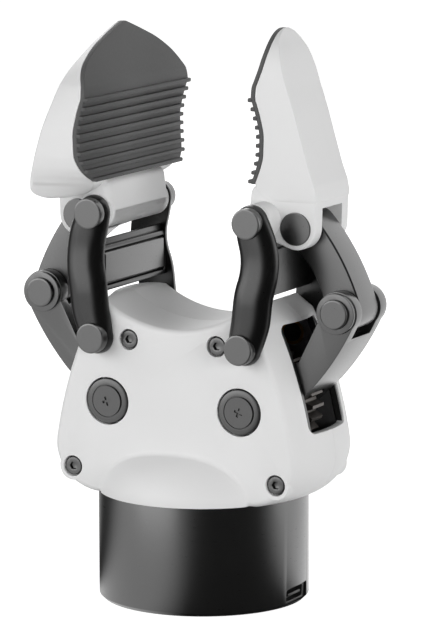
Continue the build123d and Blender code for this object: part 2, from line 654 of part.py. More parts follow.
WORM_CORE = WORM_PITCH_RADIUS - DEDENDUM_SHARE * GEAR_MODULE
WORM_TIP = WORM_PITCH_RADIUS + GEAR_MODULE - WHEEL_BACKLASH
THREAD_REACH = WORM_TIP - WORM_CORE + THREAD_ROOT_SINK
THREAD_HEIGHT = WORM_LENGTH - AXIAL_PITCH
with BuildPart() as worm_thread:
    with BuildLine() as thread_path:
        Helix(
            AXIAL_PITCH,
            THREAD_HEIGHT,
            WORM_CORE - THREAD_ROOT_SINK,
            center=(0, 0, DRIVER_PIVOT[1] - THREAD_HEIGHT / 2),
        )
    with BuildSketch(Plane(origin=thread_path.line @ 0, x_dir=(1, 0, 0), z_dir=thread_path.line % 0)):
        with BuildLine():
            Polyline(
                (0, -THREAD_ROOT / 2),
                (THREAD_REACH, -THREAD_CREST / 2),
                (THREAD_REACH, THREAD_CREST / 2),
                (0, THREAD_ROOT / 2),
                close=True,
            )
        make_face()
    sweep(path=thread_path.line, is_frenet=True)

with BuildPart() as worm:
    with BuildSketch(Plane.XY.offset(WORM_BOTTOM)):
        Circle(WORM_SHAFT_RADIUS)
    extrude(amount=WORM_TOP - WORM_BOTTOM)
    with BuildSketch(Plane.XY.offset(DRIVER_PIVOT[1] - WORM_LENGTH / 2)):
        Circle(WORM_CORE)
    extrude(amount=WORM_LENGTH)
    add(worm_thread.part)
save(worm.part, "worm")


def worm_wheel(phase):
    """Worm wheel on the right driver axle; phase is in parts of a tooth."""
    tip = PITCH_RADIUS + GEAR_MODULE - WHEEL_BACKLASH
    root = PITCH_RADIUS - DEDENDUM_SHARE * GEAR_MODULE
    quarter = AXIAL_PITCH / 4
    half_root = quarter + (PITCH_RADIUS - root) * PRESSURE_SLOPE - WHEEL_BACKLASH / 2
    half_tip = quarter - (tip - PITCH_RADIUS) * PRESSURE_SLOPE - WHEEL_BACKLASH / 2
    with BuildSketch() as tooth:
        with BuildLine():
            Polyline(
                (-THREAD_ROOT_SINK, -half_root),
                (tip - root, -half_tip),
                (tip - root, half_tip),
                (-THREAD_ROOT_SINK, half_root),
                close=True,
            )
        make_face()
    with BuildPart() as wheel:
        with BuildSketch(front_plane(WHEEL_HALF_FACE)):
            with Locations(DRIVER_PIVOT):
                Circle(root)
                with PolarLocations(root, WHEEL_TEETH, start_angle=180 + phase * 360 / WHEEL_TEETH):
                    add(tooth.sketch)
                Circle(AXLE_RADIUS, mode=Mode.SUBTRACT)
        extrude(amount=2 * WHEEL_HALF_FACE)
    return wheel.part


# Driver links: a hub around the worm wheel and a two-eared fork at the elbow
with BuildPart() as driver_link_right:
    with BuildSketch(front_plane(DRIVER_HALF)):
        with BuildLine():
            Line(ELBOW_EAR_INNER, DRIVER_INNER)
            Line(DRIVER_INNER, HUB_TOP)
            Line(HUB_TOP, HUB_FOOT)
            Line(HUB_FOOT, DRIVER_FOOT)
            ThreePointArc(DRIVER_FOOT, DRIVER_OUTER_MID, ELBOW_EAR_OUTER)
            Line(ELBOW_EAR_OUTER, ELBOW)
            Line(ELBOW, ELBOW_EAR_INNER)
        make_face()
        with Locations(DRIVER_PIVOT):
            Circle(HUB_RADIUS)
        with Locations(ELBOW):
            Circle(EAR_RADIUS)
    extrude(amount=2 * DRIVER_HALF)
    with BuildSketch(front_plane(WHEEL_HALF_FACE + SIDE_GAP)):
        with Locations(DRIVER_PIVOT):
            Circle(PITCH_RADIUS + GEAR_MODULE + SIDE_GAP)
    extrude(amount=2 * (WHEEL_HALF_FACE + SIDE_GAP), mode=Mode.SUBTRACT)
    with BuildSketch(front_plane(FORK_HALF)):
        with Locations(ELBOW):
            Circle(FORK_RADIUS)
            with Locations((FORK_RADIUS, FORK_RADIUS / 2)):
                Rectangle(2 * FORK_RADIUS, FORK_REACH)
    extrude(amount=2 * FORK_HALF, mode=Mode.SUBTRACT)
    for y_high in (-DRIVER_HALF, EAR_RING_OUT):
        with BuildSketch(front_plane(y_high)):
            with Locations(ELBOW):
                Circle(EAR_RING_RADIUS)
        extrude(amount=EAR_RING_OUT - DRIVER_HALF)
    with BuildSketch(front_plane(EAR_RING_OUT)):
        with Locations(ELBOW):
            Circle(PIN_RADIUS)
        with Locations(DRIVER_PIVOT):
            Circle(AXLE_RADIUS)
    extrude(amount=2 * EAR_RING_OUT, mode=Mode.SUBTRACT)
save(driver_link_right.part, "driver_link_right")
save(mirrored(driver_link_right.part), "driver_link_left")

save(worm_wheel(0), "worm_wheel_right")
save(mirrored(worm_wheel(0.5)), "worm_wheel_left")

driver_axle = round_bar(DRIVER_PIVOT, AXLE_RADIUS, -AXLE_END, AXLE_END)
save(driver_axle, "driver_axle_right")
save(mirrored(driver_axle), "driver_axle_left")


def headed_pin(centre, radius, head_radius, seat, out):
    """A pin through the middle plane with a round head at each end."""
    with BuildPart() as pin:
        add(round_bar(centre, radius, -seat, seat))
        add(round_bar(centre, head_radius, -out, -seat))
        add(round_bar(centre, head_radius, seat, out))
    return pin.part


elbow_pin = headed_pin(ELBOW, PIN_RADIUS, ELBOW_HEAD_RADIUS, EAR_RING_OUT, ELBOW_HEAD_OUT)
save(elbow_pin, "elbow_pin_right")
save(mirrored(elbow_pin), "elbow_pin_left")

# Outer links: a curved strut from the elbow fork up into the finger
OPEN_EYE = (FINGER_PIVOT[0] + OPEN_PIVOT_SHIFT[0], FINGER_PIVOT[1] + OPEN_PIVOT_SHIFT[1])
with BuildPart() as outer_link_right:
    with BuildSketch(front_plane(OUTER_LINK_HALF)):
        with BuildLine():
            ThreePointArc(OUTER_LINK_FOOT_OUT, OUTER_LINK_MID_OUT, OUTER_LINK_TOP_OUT)
            Line(OUTER_LINK_TOP_OUT, OPEN_EYE)
            Line(OPEN_EYE, OUTER_LINK_TOP_IN)
            ThreePointArc(OUTER_LINK_TOP_IN, OUTER_LINK_MID_IN, OUTER_LINK_FOOT_IN)
            Line(OUTER_LINK_FOOT_IN, ELBOW)
            Line(ELBOW, OUTER_LINK_FOOT_OUT)
        make_face()
        with Locations(ELBOW, OPEN_EYE):
            Circle(OUTER_EYE_RADIUS)
    extrude(amount=2 * OUTER_LINK_HALF)
    with BuildSketch(front_plane(OUTER_LINK_HALF)):
        with Locations(ELBOW):
            Circle(PIN_RADIUS + BUSH_WALL)
        with Locations(OPEN_EYE):
            Circle(PIN_RADIUS + OPEN_PIVOT_TRAVEL)
    extrude(amount=2 * OUTER_LINK_HALF, mode=Mode.SUBTRACT)
save(outer_link_right.part, "outer_link_right")
save(mirrored(outer_link_right.part), "outer_link_left")

with BuildPart() as elbow_bush_right:
    with BuildSketch(front_plane(OUTER_LINK_HALF)):
        with Locations(ELBOW):
            Circle(PIN_RADIUS + BUSH_WALL)
            Circle(PIN_RADIUS + RUNNING, mode=Mode.SUBTRACT)
    extrude(amount=2 * OUTER_LINK_HALF)
save(elbow_bush_right.part, "elbow_bush_right")
save(mirrored(elbow_bush_right.part), "elbow_bush_left")

# Inner links: jogged arms outside the body and the finger, joined by a framed panel
def arm_eye(centre, middle):
    """The round end of a front arm, its outer rim rounded like the arm itself."""
    with BuildPart() as eye:
        add(round_bar(centre, ARM_HALF_WIDTH, -middle - ARM_DEPTH / 2, -middle + ARM_DEPTH / 2))
        outer_rim = eye.edges().filter_by(GeomType.CIRCLE).sort_by(Axis.Y)[0]
        fillet(outer_rim, ARM_ROUNDING)
    return eye.part


arm_points = [(LOWER_PIVOT[0], -ARM_LOWER_MIDDLE, LOWER_PIVOT[1])]
arm_points += [(x, -ARM_LOWER_MIDDLE, z) for x, z in ARM_BENDS_LOW]
arm_points += [(x, -ARM_UPPER_MIDDLE, z) for x, z in (ARM_BEND_HIGH, UPPER_PIVOT)]
with BuildPart() as inner_arm:
    with BuildLine() as arm_path:
        FilletPolyline(*arm_points, radius=ARM_BEND_RADIUS)
    arm_start = Plane(origin=arm_path.line @ 0, x_dir=(1, 0, 0), z_dir=arm_path.line % 0)
    with BuildSketch(arm_start) as arm_section:
        Rectangle(2 * ARM_HALF_WIDTH, ARM_DEPTH)
        fillet(arm_section.vertices().group_by(Axis.Y)[0], ARM_ROUNDING)
    sweep(path=arm_path.line)
    add(arm_eye(LOWER_PIVOT, ARM_LOWER_MIDDLE))
    add(arm_eye(UPPER_PIVOT, ARM_UPPER_MIDDLE))

PANEL_MIDDLE = (PANEL_TOP + PANEL_BOTTOM) / 2
PANEL_HEIGHT = PANEL_TOP - PANEL_BOTTOM
RECESS_HALF = ARM_LOWER_IN - PANEL_SIDE_RIM
RECESS_HEIGHT = PANEL_HEIGHT - 2 * PANEL_EDGE_RIM
with BuildPart() as inner_link_right:
    add(inner_arm.part)
    mirror(about=Plane.XZ)
    with BuildSketch(side_plane(PANEL_FACE)):
        with Locations((0, PANEL_MIDDLE)):
            Rectangle(2 * ARM_LOWER_IN, PANEL_HEIGHT)
    extrude(amount=PANEL_THICKNESS)
    with BuildSketch(side_plane(PANEL_FACE + LIP_SETBACK)):
        with Locations((0, PANEL_TOP + LIP_HEIGHT / 2)):
            Rectangle(2 * ARM_UPPER_MIDDLE, LIP_HEIGHT)
    extrude(amount=LIP_THICKNESS)
    with BuildSketch(side_plane(PANEL_FACE)):
        with Locations((0, PANEL_MIDDLE)):
            RectangleRounded(2 * RECESS_HALF, RECESS_HEIGHT, PANEL_CORNER)
    extrude(amount=PANEL_RECESS, mode=Mode.SUBTRACT)
    for y_high in (-ARM_LOWER_IN, ARM_LOWER_OUT):
        with BuildSketch(front_plane(y_high)):
            with Locations(LOWER_PIVOT):
                Circle(LOWER_PIN_RADIUS)
        extrude(amount=ARM_LOWER_OUT - ARM_LOWER_IN, mode=Mode.SUBTRACT)
    with BuildSketch(front_plane(ARM_LOWER_OUT)):
        with Locations(UPPER_PIVOT):
            Circle(PIN_RADIUS)
    extrude(amount=2 * ARM_LOWER_OUT, mode=Mode.SUBTRACT)
save(inner_link_right.part, "inner_link_right")
save(mirrored(inner_link_right.part), "inner_link_left")

with BuildPart() as link_panel_right:
    with BuildSketch(side_plane(PANEL_FACE + PANEL_RECESS)):
        with Locations((0, PANEL_MIDDLE)):
            Rectangle(2 * (RECESS_HALF - COVER_GAP), RECESS_HEIGHT - 2 * COVER_GAP)
    extrude(amount=-COVER_THICKNESS)
    chamfer(link_panel_right.faces().sort_by(Axis.X)[0].edges(), COVER_EDGE)
save(link_panel_right.part, "link_panel_right")
save(mirrored(link_panel_right.part), "link_panel_left")

with BuildPart() as lower_pins_right:
    add(round_bar(LOWER_PIVOT, LOWER_PIN_RADIUS, -ARM_LOWER_OUT, -CHEEK_INNER))
    add(round_bar(LOWER_PIVOT, LINK_HEAD_RADIUS, -LOWER_HEAD_OUT, -ARM_LOWER_OUT))
    mirror(about=Plane.XZ)
save(lower_pins_right.part, "lower_pins_right")
save(mirrored(lower_pins_right.part), "lower_pins_left")

upper_seat = ARM_UPPER_OUT + SEAT_GAP
upper_pin = headed_pin(UPPER_PIVOT, PIN_RADIUS, LINK_HEAD_RADIUS, upper_seat, UPPER_HEAD_OUT)
save(upper_pin, "upper_pin_right")
save(mirrored(upper_pin), "upper_pin_left")


def lofted(sections):
    """A solid through horizontal trapezoids, each (z, face x, face half, back x, back half)."""
    with BuildPart() as solid:
        for z, face_x, face_half, back_x, back_half in sections:
            with BuildSketch(Plane.XY.offset(z)):
                with BuildLine():
                    Polyline(
                        (face_x, -face_half),
                        (back_x, -back_half),
                        (back_x, back_half),
                        (face_x, face_half),
                        close=True,
                    )
                make_face()
        loft(ruled=True)
    return solid.part


def hull_block(half, *circles):
    """The hull of circles, each (x, z, radius), as a block across the middle plane."""
    with BuildPart() as block:
        with BuildSketch(front_plane(half)):
            for x, z, radius in circles:
                with Locations((x, z)):
                    Circle(radius)
            make_hull()
        extrude(amount=2 * half)
    return block.part


def finger_shell(half, tip_share):
    """White finger: tapering head, neck on the upper pin and lobes on the drive pin."""
    sections = []
    for rise, face_x, back_x, face_half, back_half in FINGER_STATIONS:
        face_width = min(half, tip_share * face_half)
        back_width = min(half, tip_share * back_half)
        sections.append((BASE_HEIGHT + rise, face_x + PAD_THICKNESS, face_width, back_x, back_width))
    neck = (*UPPER_PIVOT, NECK_RADIUS)
    neck_front = (*NECK_FRONT, NECK_TOP_RADIUS)
    neck_back = (*NECK_BACK, NECK_TOP_RADIUS)
    lobe = (*FINGER_PIVOT, LOBE_RADIUS)
    lobe_top = (*LOBE_TOP, LOBE_TOP_RADIUS)
    back_face = LOBE_TOP[0] + LOBE_TOP_RADIUS
    open_foot = FINGER_PIVOT[1] - 2 * LOBE_RADIUS
    with BuildPart() as shell:
        add(lofted(sections))
        add(hull_block(WALL_HALF, neck, lobe, lobe_top, neck_front))
        add(hull_block(min(half, NECK_HALF), neck, neck_front, neck_back))
        add(round_bar(UPPER_PIVOT, NECK_RADIUS, -NECK_HALF, NECK_HALF))
        with BuildSketch(front_plane(LOBE_INNER)):
            with BuildLine():
                Polyline(
                    (CAVITY_FRONT, open_foot),
                    (CAVITY_FRONT, CAVITY_TOP),
                    (back_face - BACK_WALL, CAVITY_TOP),
                    (back_face - BACK_WALL, TONGUE_TOP),
                    (back_face - TONGUE_WALL, TONGUE_TOP),
                    (back_face - TONGUE_WALL, TONGUE_FOOT),
                    (ELBOW[0], TONGUE_FOOT),
                    (ELBOW[0], open_foot),
                    close=True,
                )
            make_face()
        extrude(amount=2 * LOBE_INNER, mode=Mode.SUBTRACT)
        with BuildSketch(front_plane(NECK_HALF)):
            with Locations(UPPER_PIVOT):
                Circle(PIN_RADIUS + BUSH_WALL)
            with Locations(FINGER_PIVOT):
                Circle(PIN_RADIUS)
        extrude(amount=2 * NECK_HALF, mode=Mode.SUBTRACT)
    return shell.part


def finger_pad(half, tip_share):
    """Rubber pad on the finger's face: flat at the tip, ribbed where it is hollow."""
    sections = []
    for rise, face_x, back_x, face_half, back_half in FINGER_STATIONS:
        if rise >= PAD_RISE:
            width = min(half, tip_share * face_half)
            back = face_x + PAD_THICKNESS - RUNNING
            sections.append((BASE_HEIGHT + rise, face_x, width, back, width))
    with BuildPart() as pad:
        add(lofted(sections))
        for rib in range(RIB_COUNT):
            rib_z = PAD_BOTTOM + RIB_START + RIB_SPACING * rib
            below = max(section for section in sections if section[0] <= rib_z)
            above = min(section for section in sections if section[0] > rib_z)
            share = (rib_z - below[0]) / (above[0] - below[0])
            rib_x = below[1] + share * (above[1] - below[1])
            rib_half = below[2] + share * (above[2] - below[2])
            with BuildSketch(Plane.XY.offset(rib_z - RIB_WIDTH / 2)):
                with Locations((rib_x + (RIB_ROOT - RIB_HEIGHT) / 2, 0)):
                    Rectangle(RIB_HEIGHT + RIB_ROOT, 2 * rib_half)
            extrude(amount=RIB_WIDTH)
    return pad.part


save(finger_shell(RIGHT_HALF, RIGHT_TIP_SHARE), "finger_shell_right")
save(mirrored(finger_shell(LEFT_HALF, LEFT_TIP_SHARE)), "finger_shell_left")
save(finger_pad(RIGHT_HALF, RIGHT_TIP_SHARE), "finger_pad_right")
save(mirrored(finger_pad(LEFT_HALF, LEFT_TIP_SHARE)), "finger_pad_left")

with BuildPart() as finger_bush_right:
    with BuildSketch(front_plane(NECK_HALF)):
        with Locations(UPPER_PIVOT):
            Circle(PIN_RADIUS + BUSH_WALL)
            Circle(PIN_RADIUS + RUNNING, mode=Mode.SUBTRACT)
    extrude(amount=2 * NECK_HALF)
save(finger_bush_right.part, "finger_bush_right")
save(mirrored(finger_bush_right.part), "finger_bush_left")

drive_pin = headed_pin(FINGER_PIVOT, PIN_RADIUS, FINGER_HEAD_RADIUS, WALL_HALF, FINGER_HEAD_OUT)
save(drive_pin, "drive_pin_right")
save(mirrored(drive_pin), "drive_pin_left")
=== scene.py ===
"""Adaptive two-finger robot gripper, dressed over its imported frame.

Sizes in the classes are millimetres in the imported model's frame, and become metres when a mesh
is made. The fingers open along X, the front faces -Y and +Z is up.
"""

import json
import logging
import math
from dataclasses import dataclass
from enum import Enum
from typing import Callable, Iterable, Sequence

import bmesh
import bpy
from bpy.types import Material, Mesh, Node, NodeSocket, NodeTree, Object, bpy_prop_collection
from mathutils import Matrix, Vector


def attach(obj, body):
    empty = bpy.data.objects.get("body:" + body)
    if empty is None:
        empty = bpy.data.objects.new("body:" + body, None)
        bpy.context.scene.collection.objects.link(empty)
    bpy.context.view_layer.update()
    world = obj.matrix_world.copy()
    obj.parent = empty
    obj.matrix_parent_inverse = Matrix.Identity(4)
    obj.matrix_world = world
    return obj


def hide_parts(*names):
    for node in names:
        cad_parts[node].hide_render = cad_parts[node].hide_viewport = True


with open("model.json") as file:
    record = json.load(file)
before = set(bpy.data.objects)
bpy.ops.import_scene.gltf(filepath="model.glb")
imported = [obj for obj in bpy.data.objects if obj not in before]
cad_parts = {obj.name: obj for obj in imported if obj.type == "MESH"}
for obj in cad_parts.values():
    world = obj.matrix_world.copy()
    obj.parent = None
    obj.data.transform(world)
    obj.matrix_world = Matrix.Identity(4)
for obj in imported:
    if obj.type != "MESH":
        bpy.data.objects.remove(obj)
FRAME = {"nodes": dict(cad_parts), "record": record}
MM = 0.001
LOG = logging.getLogger("gripper")

# Vertices closer than this, in millimetres, are one: in a mesh made here, and in a CAD node's
MADE_WELD = 0.001
NODE_WELD = 0.002
# A CAD node's triangles within this angle, in degrees, are one flat face
FLAT_ANGLE = 0.4
# Broad patches of this size, in millimetres, keep a large face from looking like one flat tone
PATCH_MM = 35
BUMP_STRENGTH = 0.35
# A chamfer has two facets: the corner between them lies this share of it in from both faces
CHAMFER_SHARE = 0.3
# A rounded mesh stays crisp at edges sharper by this, in degrees, than those that were rounded
ROUND_MARGIN = 10.0
# How far, in millimetres, a cutter reaches past what it cuts
CLEAR = 1.0
WHITE = (1.0, 1.0, 1.0, 1.0)
BLACK = (0.0, 0.0, 0.0, 1.0)

Point = tuple[float, float, float]
Flat = tuple[float, float]


class Side(Enum):
    """The two mirrored halves of the linkage."""

    RIGHT = 1
    LEFT = -1

    def label(self, stem: str) -> str:
        """Name a node or body on this side."""
        return f"{stem}_{self.name.lower()}"

    def show(
        self, mesh: Mesh, stem: str, body: str, crisp: float, finish: "Finish | None" = None
    ) -> None:
        """Show a mesh made for the right side on this one, in place of a CAD node.

        Args:
            mesh: the mesh as made for the right side.
            stem: the node's name without its side.
            body: the body's name without its side.
            crisp: edges sharper than this, in degrees, stay crisp.
            finish: its finish, or None for that of the node's slot.
        """
        own = smooth(flipped(mesh, self.value, 1), crisp)
        stand_in(own, self.label(stem), self.label(body), finish)


def srgb(code: str) -> tuple[float, float, float, float]:
    """Turn an sRGB hex colour into linear RGBA.

    Args:
        code: six hex digits.

    Returns:
        Red, green and blue in linear light, and an alpha of 1.
    """
    parts = [int(code[start : start + 2], 16) / 255 for start in (0, 2, 4)]
    linear = [part / 12.92 if part <= 0.04045 else ((part + 0.055) / 1.055) ** 2.4 for part in parts]
    return (linear[0], linear[1], linear[2], 1.0)


def add_node(tree: NodeTree, kind: str, settings: dict | None = None, **links: NodeSocket) -> Node:
    """Add a node with its settings and incoming links.

    Args:
        tree: the tree that gets the node.
        kind: the node's type name.
        settings: properties by their attribute name, and input values by their socket name or number.
        links: source sockets by the target socket's name, with _ for a space, or by number as s0, s1.

    Returns:
        The new node.
    """
    node = tree.nodes.new(kind)
    for key, value in (settings or {}).items():
        if isinstance(key, str) and hasattr(node, key):
            setattr(node, key, value)
        else:
            node.inputs[key].default_value = value
    for key, source in links.items():
        target = int(key[1:]) if key[0] == "s" and key[1:].isdigit() else key.replace("_", " ")
        tree.links.new(source, node.inputs[target])
    return node


def maths(tree: NodeTree, operation: str, *values: NodeSocket | float) -> NodeSocket:
    """Add a math node.

    Args:
        tree: the tree that gets the node.
        operation: what it does.
        values: its inputs in order, each a socket or a number.

    Returns:
        The socket with the result.
    """
    node = add_node(tree, "ShaderNodeMath", {"operation": operation})
    for value, target in zip(values, node.inputs):
        if isinstance(value, NodeSocket):
            tree.links.new(value, target)
        else:
            target.default_value = value
    return node.outputs[0]


@dataclass(frozen=True)
class Finish:
    """A surface finish whose tone and gloss drift over grain of a real size.

    colour and second are sRGB hex tones, grain_mm the size of the visible grain, bump_mm its
    height, stretch the grain's lengthening along each axis.
    """

    name: str
    colour: str
    second: str
    roughness: float
    gloss_drift: float = 0.06
    metallic: float = 0.0
    ior: float = 1.5
    coat: float = 0.0
    grain_mm: float = 0.5
    bump_mm: float = 0.02
    stretch: Point = (1.0, 1.0, 1.0)

    def material(self) -> Material:
        """Make the finish as a material, once.

        Returns:
            The material, or the one made for an earlier piece.
        """
        known = bpy.data.materials.get(self.name)
        if known:
            return known
        made = bpy.data.materials.new(self.name)
        made.use_nodes = True
        tree = made.node_tree
        tree.nodes.clear()
        place = add_node(tree, "ShaderNodeTexCoord")
        scale = tuple(1 / (length * self.grain_mm * MM) for length in self.stretch)
        fine_place = add_node(tree, "ShaderNodeMapping", {"Scale": scale}, Vector=place.outputs["Object"])
        grain = add_node(
            tree, "ShaderNodeTexNoise", {"Scale": 1.0, "Detail": 3.0}, Vector=fine_place.outputs["Vector"]
        )
        broad = {"Scale": 1 / (PATCH_MM * MM), "Detail": 2.0}
        patches = add_node(tree, "ShaderNodeTexNoise", broad, Vector=place.outputs["Object"])
        tones = {"data_type": "RGBA", 6: srgb(self.colour), 7: srgb(self.second)}
        tone = add_node(tree, "ShaderNodeMix", tones, Factor=patches.outputs[0])
        low, high = self.roughness - self.gloss_drift, self.roughness + self.gloss_drift
        gloss = add_node(
            tree, "ShaderNodeMapRange", {"To Min": low, "To Max": high}, Value=grain.outputs[0]
        )
        height = {"Strength": BUMP_STRENGTH, "Distance": self.bump_mm * MM}
        bump = add_node(tree, "ShaderNodeBump", height, Height=grain.outputs[0])
        settings = {"Metallic": self.metallic}
        if not self.metallic:
            settings["IOR"] = self.ior
        if self.coat:
            settings["Coat Weight"] = self.coat
            settings["Coat Roughness"] = self.roughness / 2
        shader = add_node(
            tree,
            "ShaderNodeBsdfPrincipled",
            settings,
            Base_Color=tone.outputs[2],
            Roughness=gloss.outputs["Result"],
            Normal=bump.outputs["Normal"],
        )
        add_node(tree, "ShaderNodeOutputMaterial", Surface=shader.outputs["BSDF"])
        return made


# Injection-moulded ABS with a fine spark-eroded texture: soft highlights on a clean white
MOULDED_ABS = Finish(
    "white_moulded_abs", "E9E9E9", "E4E4E4", 0.55, ior=1.53, grain_mm=0.6, bump_mm=0.015
)
# Black anodised aluminium, bead blasted first: deep grey with a broad satin sheen
BLASTED_ANODISED = Finish(
    "black_anodised_aluminium", "101010", "151515", 0.30, ior=1.9, grain_mm=0.5, bump_mm=0.012
)
# Hard black paint on the forged arms of the inner links: deep, with a narrow sheen
BLACK_PAINT = Finish("black_painted_steel", "090909", "0D0D0D", 0.30, ior=1.5, grain_mm=0.8, bump_mm=0.003)
# The same anodising on a turned tube: the grain runs round it and draws the sheen out
TURNED_ANODISED = Finish(
    "turned_anodised_aluminium", "0E0E0E", "121212", 0.30, ior=1.9, grain_mm=0.6, bump_mm=0.01,
    stretch=(6.0, 6.0, 0.5),
)
# Milled aluminium left natural, with the cutter's faint lines along X
MILLED_ALUMINIUM = Finish(
    "milled_aluminium", "9C9C9E", "A4A4A6", 0.34, metallic=0.9, grain_mm=0.5, bump_mm=0.01,
    stretch=(8.0, 1.0, 1.0),
)
# Blackened steel pins: an oiled oxide skin, dark and a little glossy
BLACK_OXIDE = Finish("black_oxide_steel", "121212", "171717", 0.30, ior=1.9, grain_mm=0.5, bump_mm=0.008)
# Ground steel on shafts and bearings: bright, lines round the shaft
GROUND_STEEL = Finish("ground_steel", "B4B4B6", "A9A9AB", 0.24, metallic=1.0, grain_mm=0.5, bump_mm=0.006)
# Sintered bronze of the bushes: warm and faintly porous
SINTERED_BRONZE = Finish(
    "sintered_bronze", "B08548", "A27A40", 0.36, metallic=1.0, grain_mm=0.8, bump_mm=0.02
)
# Bronze of the worm wheels, dark with grease and wear
GREASED_BRONZE = Finish(
    "greased_bronze", "4A4642", "3E3B38", 0.38, metallic=0.8, grain_mm=0.8, bump_mm=0.02
)
# Dark moulded nylon of the slot rims and pivot caps, with a satin skin
MOULDED_NYLON = Finish(
    "dark_moulded_nylon", "1C1C1C", "212121", 0.34, ior=1.75, grain_mm=0.7, bump_mm=0.02
)
# Black moulded nylon of the signal socket and the encoder, a little duller
BLACK_NYLON = Finish("black_moulded_nylon", "1B1B1B", "202020", 0.42, ior=1.53, grain_mm=0.7, bump_mm=0.02)
# Moulded silicone rubber of the pads: matt, with the mould's fine bloom
PAD_RUBBER = Finish(
    "moulded_silicone_rubber", "4C4C4C", "535353", 0.62, gloss_drift=0.08, ior=1.43, grain_mm=0.8,
    bump_mm=0.03,
)
# Green solder mask under its clear lacquer
SOLDER_MASK = Finish("solder_mask", "1F6B3A", "1B5F33", 0.30, coat=0.4, grain_mm=1.5, bump_mm=0.02)

FINISH_OF_SLOT = {
    "white_shell": MOULDED_ABS,
    "dark_base": TURNED_ANODISED,
    "dark_alloy": BLASTED_ANODISED,
    "driver_alloy": BLASTED_ANODISED,
    "panel_alloy": BLASTED_ANODISED,
    "frame_alloy": MILLED_ALUMINIUM,
    "rim_plastic": MOULDED_NYLON,
    "cap_plastic": MOULDED_NYLON,
    "black_plastic": BLACK_NYLON,
    "pin_steel": BLACK_OXIDE,
    "screw_steel": BLACK_OXIDE,
    "bearing_steel": GROUND_STEEL,
    "worm_steel": GROUND_STEEL,
    "motor_steel": GROUND_STEEL,
    "reducer_steel": GROUND_STEEL,
    "bronze": SINTERED_BRONZE,
    "circuit_board": SOLDER_MASK,
    "pad_rubber": PAD_RUBBER,
}


def baked(obj: Object) -> Mesh:
    """Turn an object's modifiers into its plain mesh.

    Args:
        obj: an object that carries modifiers, and has none of them after this.

    Returns:
        Its new mesh.
    """
    bpy.context.view_layer.update()
    mesh = bpy.data.meshes.new_from_object(obj.evaluated_get(bpy.context.evaluated_depsgraph_get()))
    obj.modifiers.clear()
    obj.data = mesh
    return mesh


def new_object(name: str, mesh: Mesh) -> Object:
    """Link a mesh into the scene as an object at the origin.

    Args:
        name: the object's name.
        mesh: its mesh.

    Returns:
        The new object.
    """
    obj = bpy.data.objects.new(name, mesh)
    bpy.context.scene.collection.objects.link(obj)
    return obj


def smooth(mesh: Mesh, angle: float = 32.0) -> Mesh:
    """Shade a mesh smooth.

    Args:
        mesh: the mesh to shade.
        angle: edges sharper than this, in degrees, stay crisp.

    Returns:
        The same mesh.
    """
    mesh.polygons.foreach_set("use_smooth", [True] * len(mesh.polygons))
    mesh.set_sharp_from_angle(angle=math.radians(angle))
    return mesh


def mesh_of(name: str, points: Sequence[Point], faces: Sequence[Sequence[int]]) -> Mesh:
    """Make a closed mesh from points in millimetres, with its faces turned outwards.

    Args:
        name: the mesh's name.
        points: its vertices, in millimetres.
        faces: its faces, as vertex numbers.

    Returns:
        The mesh, in metres.
    """
    mesh = bpy.data.meshes.new(name)
    mesh.from_pydata([Vector(point) * MM for point in points], [], faces)
    work = bmesh.new()
    work.from_mesh(mesh)
    bmesh.ops.remove_doubles(work, verts=work.verts, dist=MADE_WELD * MM)
    bmesh.ops.recalc_face_normals(work, faces=work.faces)
    work.to_mesh(mesh)
    work.free()
    return mesh


def bands(rings: int, count: int) -> list[tuple[int, ...]]:
    """List the faces between rings of equal length.

    Args:
        rings: how many rings there are.
        count: how many points each has.

    Returns:
        The faces, as vertex numbers.
    """
    faces = []
    for low in range(0, (rings - 1) * count, count):
        for step in range(count):
            after = (step + 1) % count
            faces.append((low + step, low + after, low + count + after, low + count + step))
    return faces


def ringed(name: str, rings: Sequence[Sequence[Point]]) -> Mesh:
    """Join rings of equal length into a closed skin, with a face over each end.

    Args:
        name: the mesh's name.
        rings: the rings, each a list of points in millimetres.

    Returns:
        The closed mesh.
    """
    count = len(rings[0])
    last = (len(rings) - 1) * count
    faces = bands(len(rings), count) + [tuple(range(count)), tuple(range(last, last + count))]
    return mesh_of(name, [point for ring in rings for point in ring], faces)


def quarter(steps: int) -> list[float]:
    """List the turns of a quarter circle, from 0 on."""
    return [math.pi / 2 * step / steps for step in range(steps + 1)]


def disc_ring(centre: Flat, radius: float, y: float, steps: int) -> list[Point]:
    """Set a ring of points about an (x, z) centre, in the plane at depth y."""
    turns = [math.tau * step / steps for step in range(steps)]
    return [(centre[0] + radius * math.cos(a), y, centre[1] + radius * math.sin(a)) for a in turns]


def turned(name: str, centre: Flat, profile: Sequence[Flat], steps: int = 64) -> Mesh:
    """Make a turned solid along Y about an (x, z) centre.

    Args:
        name: the mesh's name.
        centre: the axis, as x and z.
        profile: (y, radius) pairs from one end to the other.
        steps: how many sides the turning has.

    Returns:
        The closed mesh.
    """
    return ringed(name, [disc_ring(centre, radius, y, steps) for y, radius in profile])


def block(name: str, low: Point, high: Point) -> Mesh:
    """Make a plain block between two corners, as a cutter or as the start of a rounded form."""
    (x0, y0, z0), (x1, y1, z1) = low, high
    return ringed(name, [[(x0, y0, z), (x1, y0, z), (x1, y1, z), (x0, y1, z)] for z in (z0, z1)])


def joined(name: str, meshes: Iterable[Mesh]) -> Mesh:
    """Put several meshes into one.

    Args:
        name: the new mesh's name.
        meshes: the meshes, which stay as they are.

    Returns:
        The new mesh.
    """
    work = bmesh.new()
    for mesh in meshes:
        work.from_mesh(mesh)
    result = bpy.data.meshes.new(name)
    work.to_mesh(result)
    work.free()
    return result


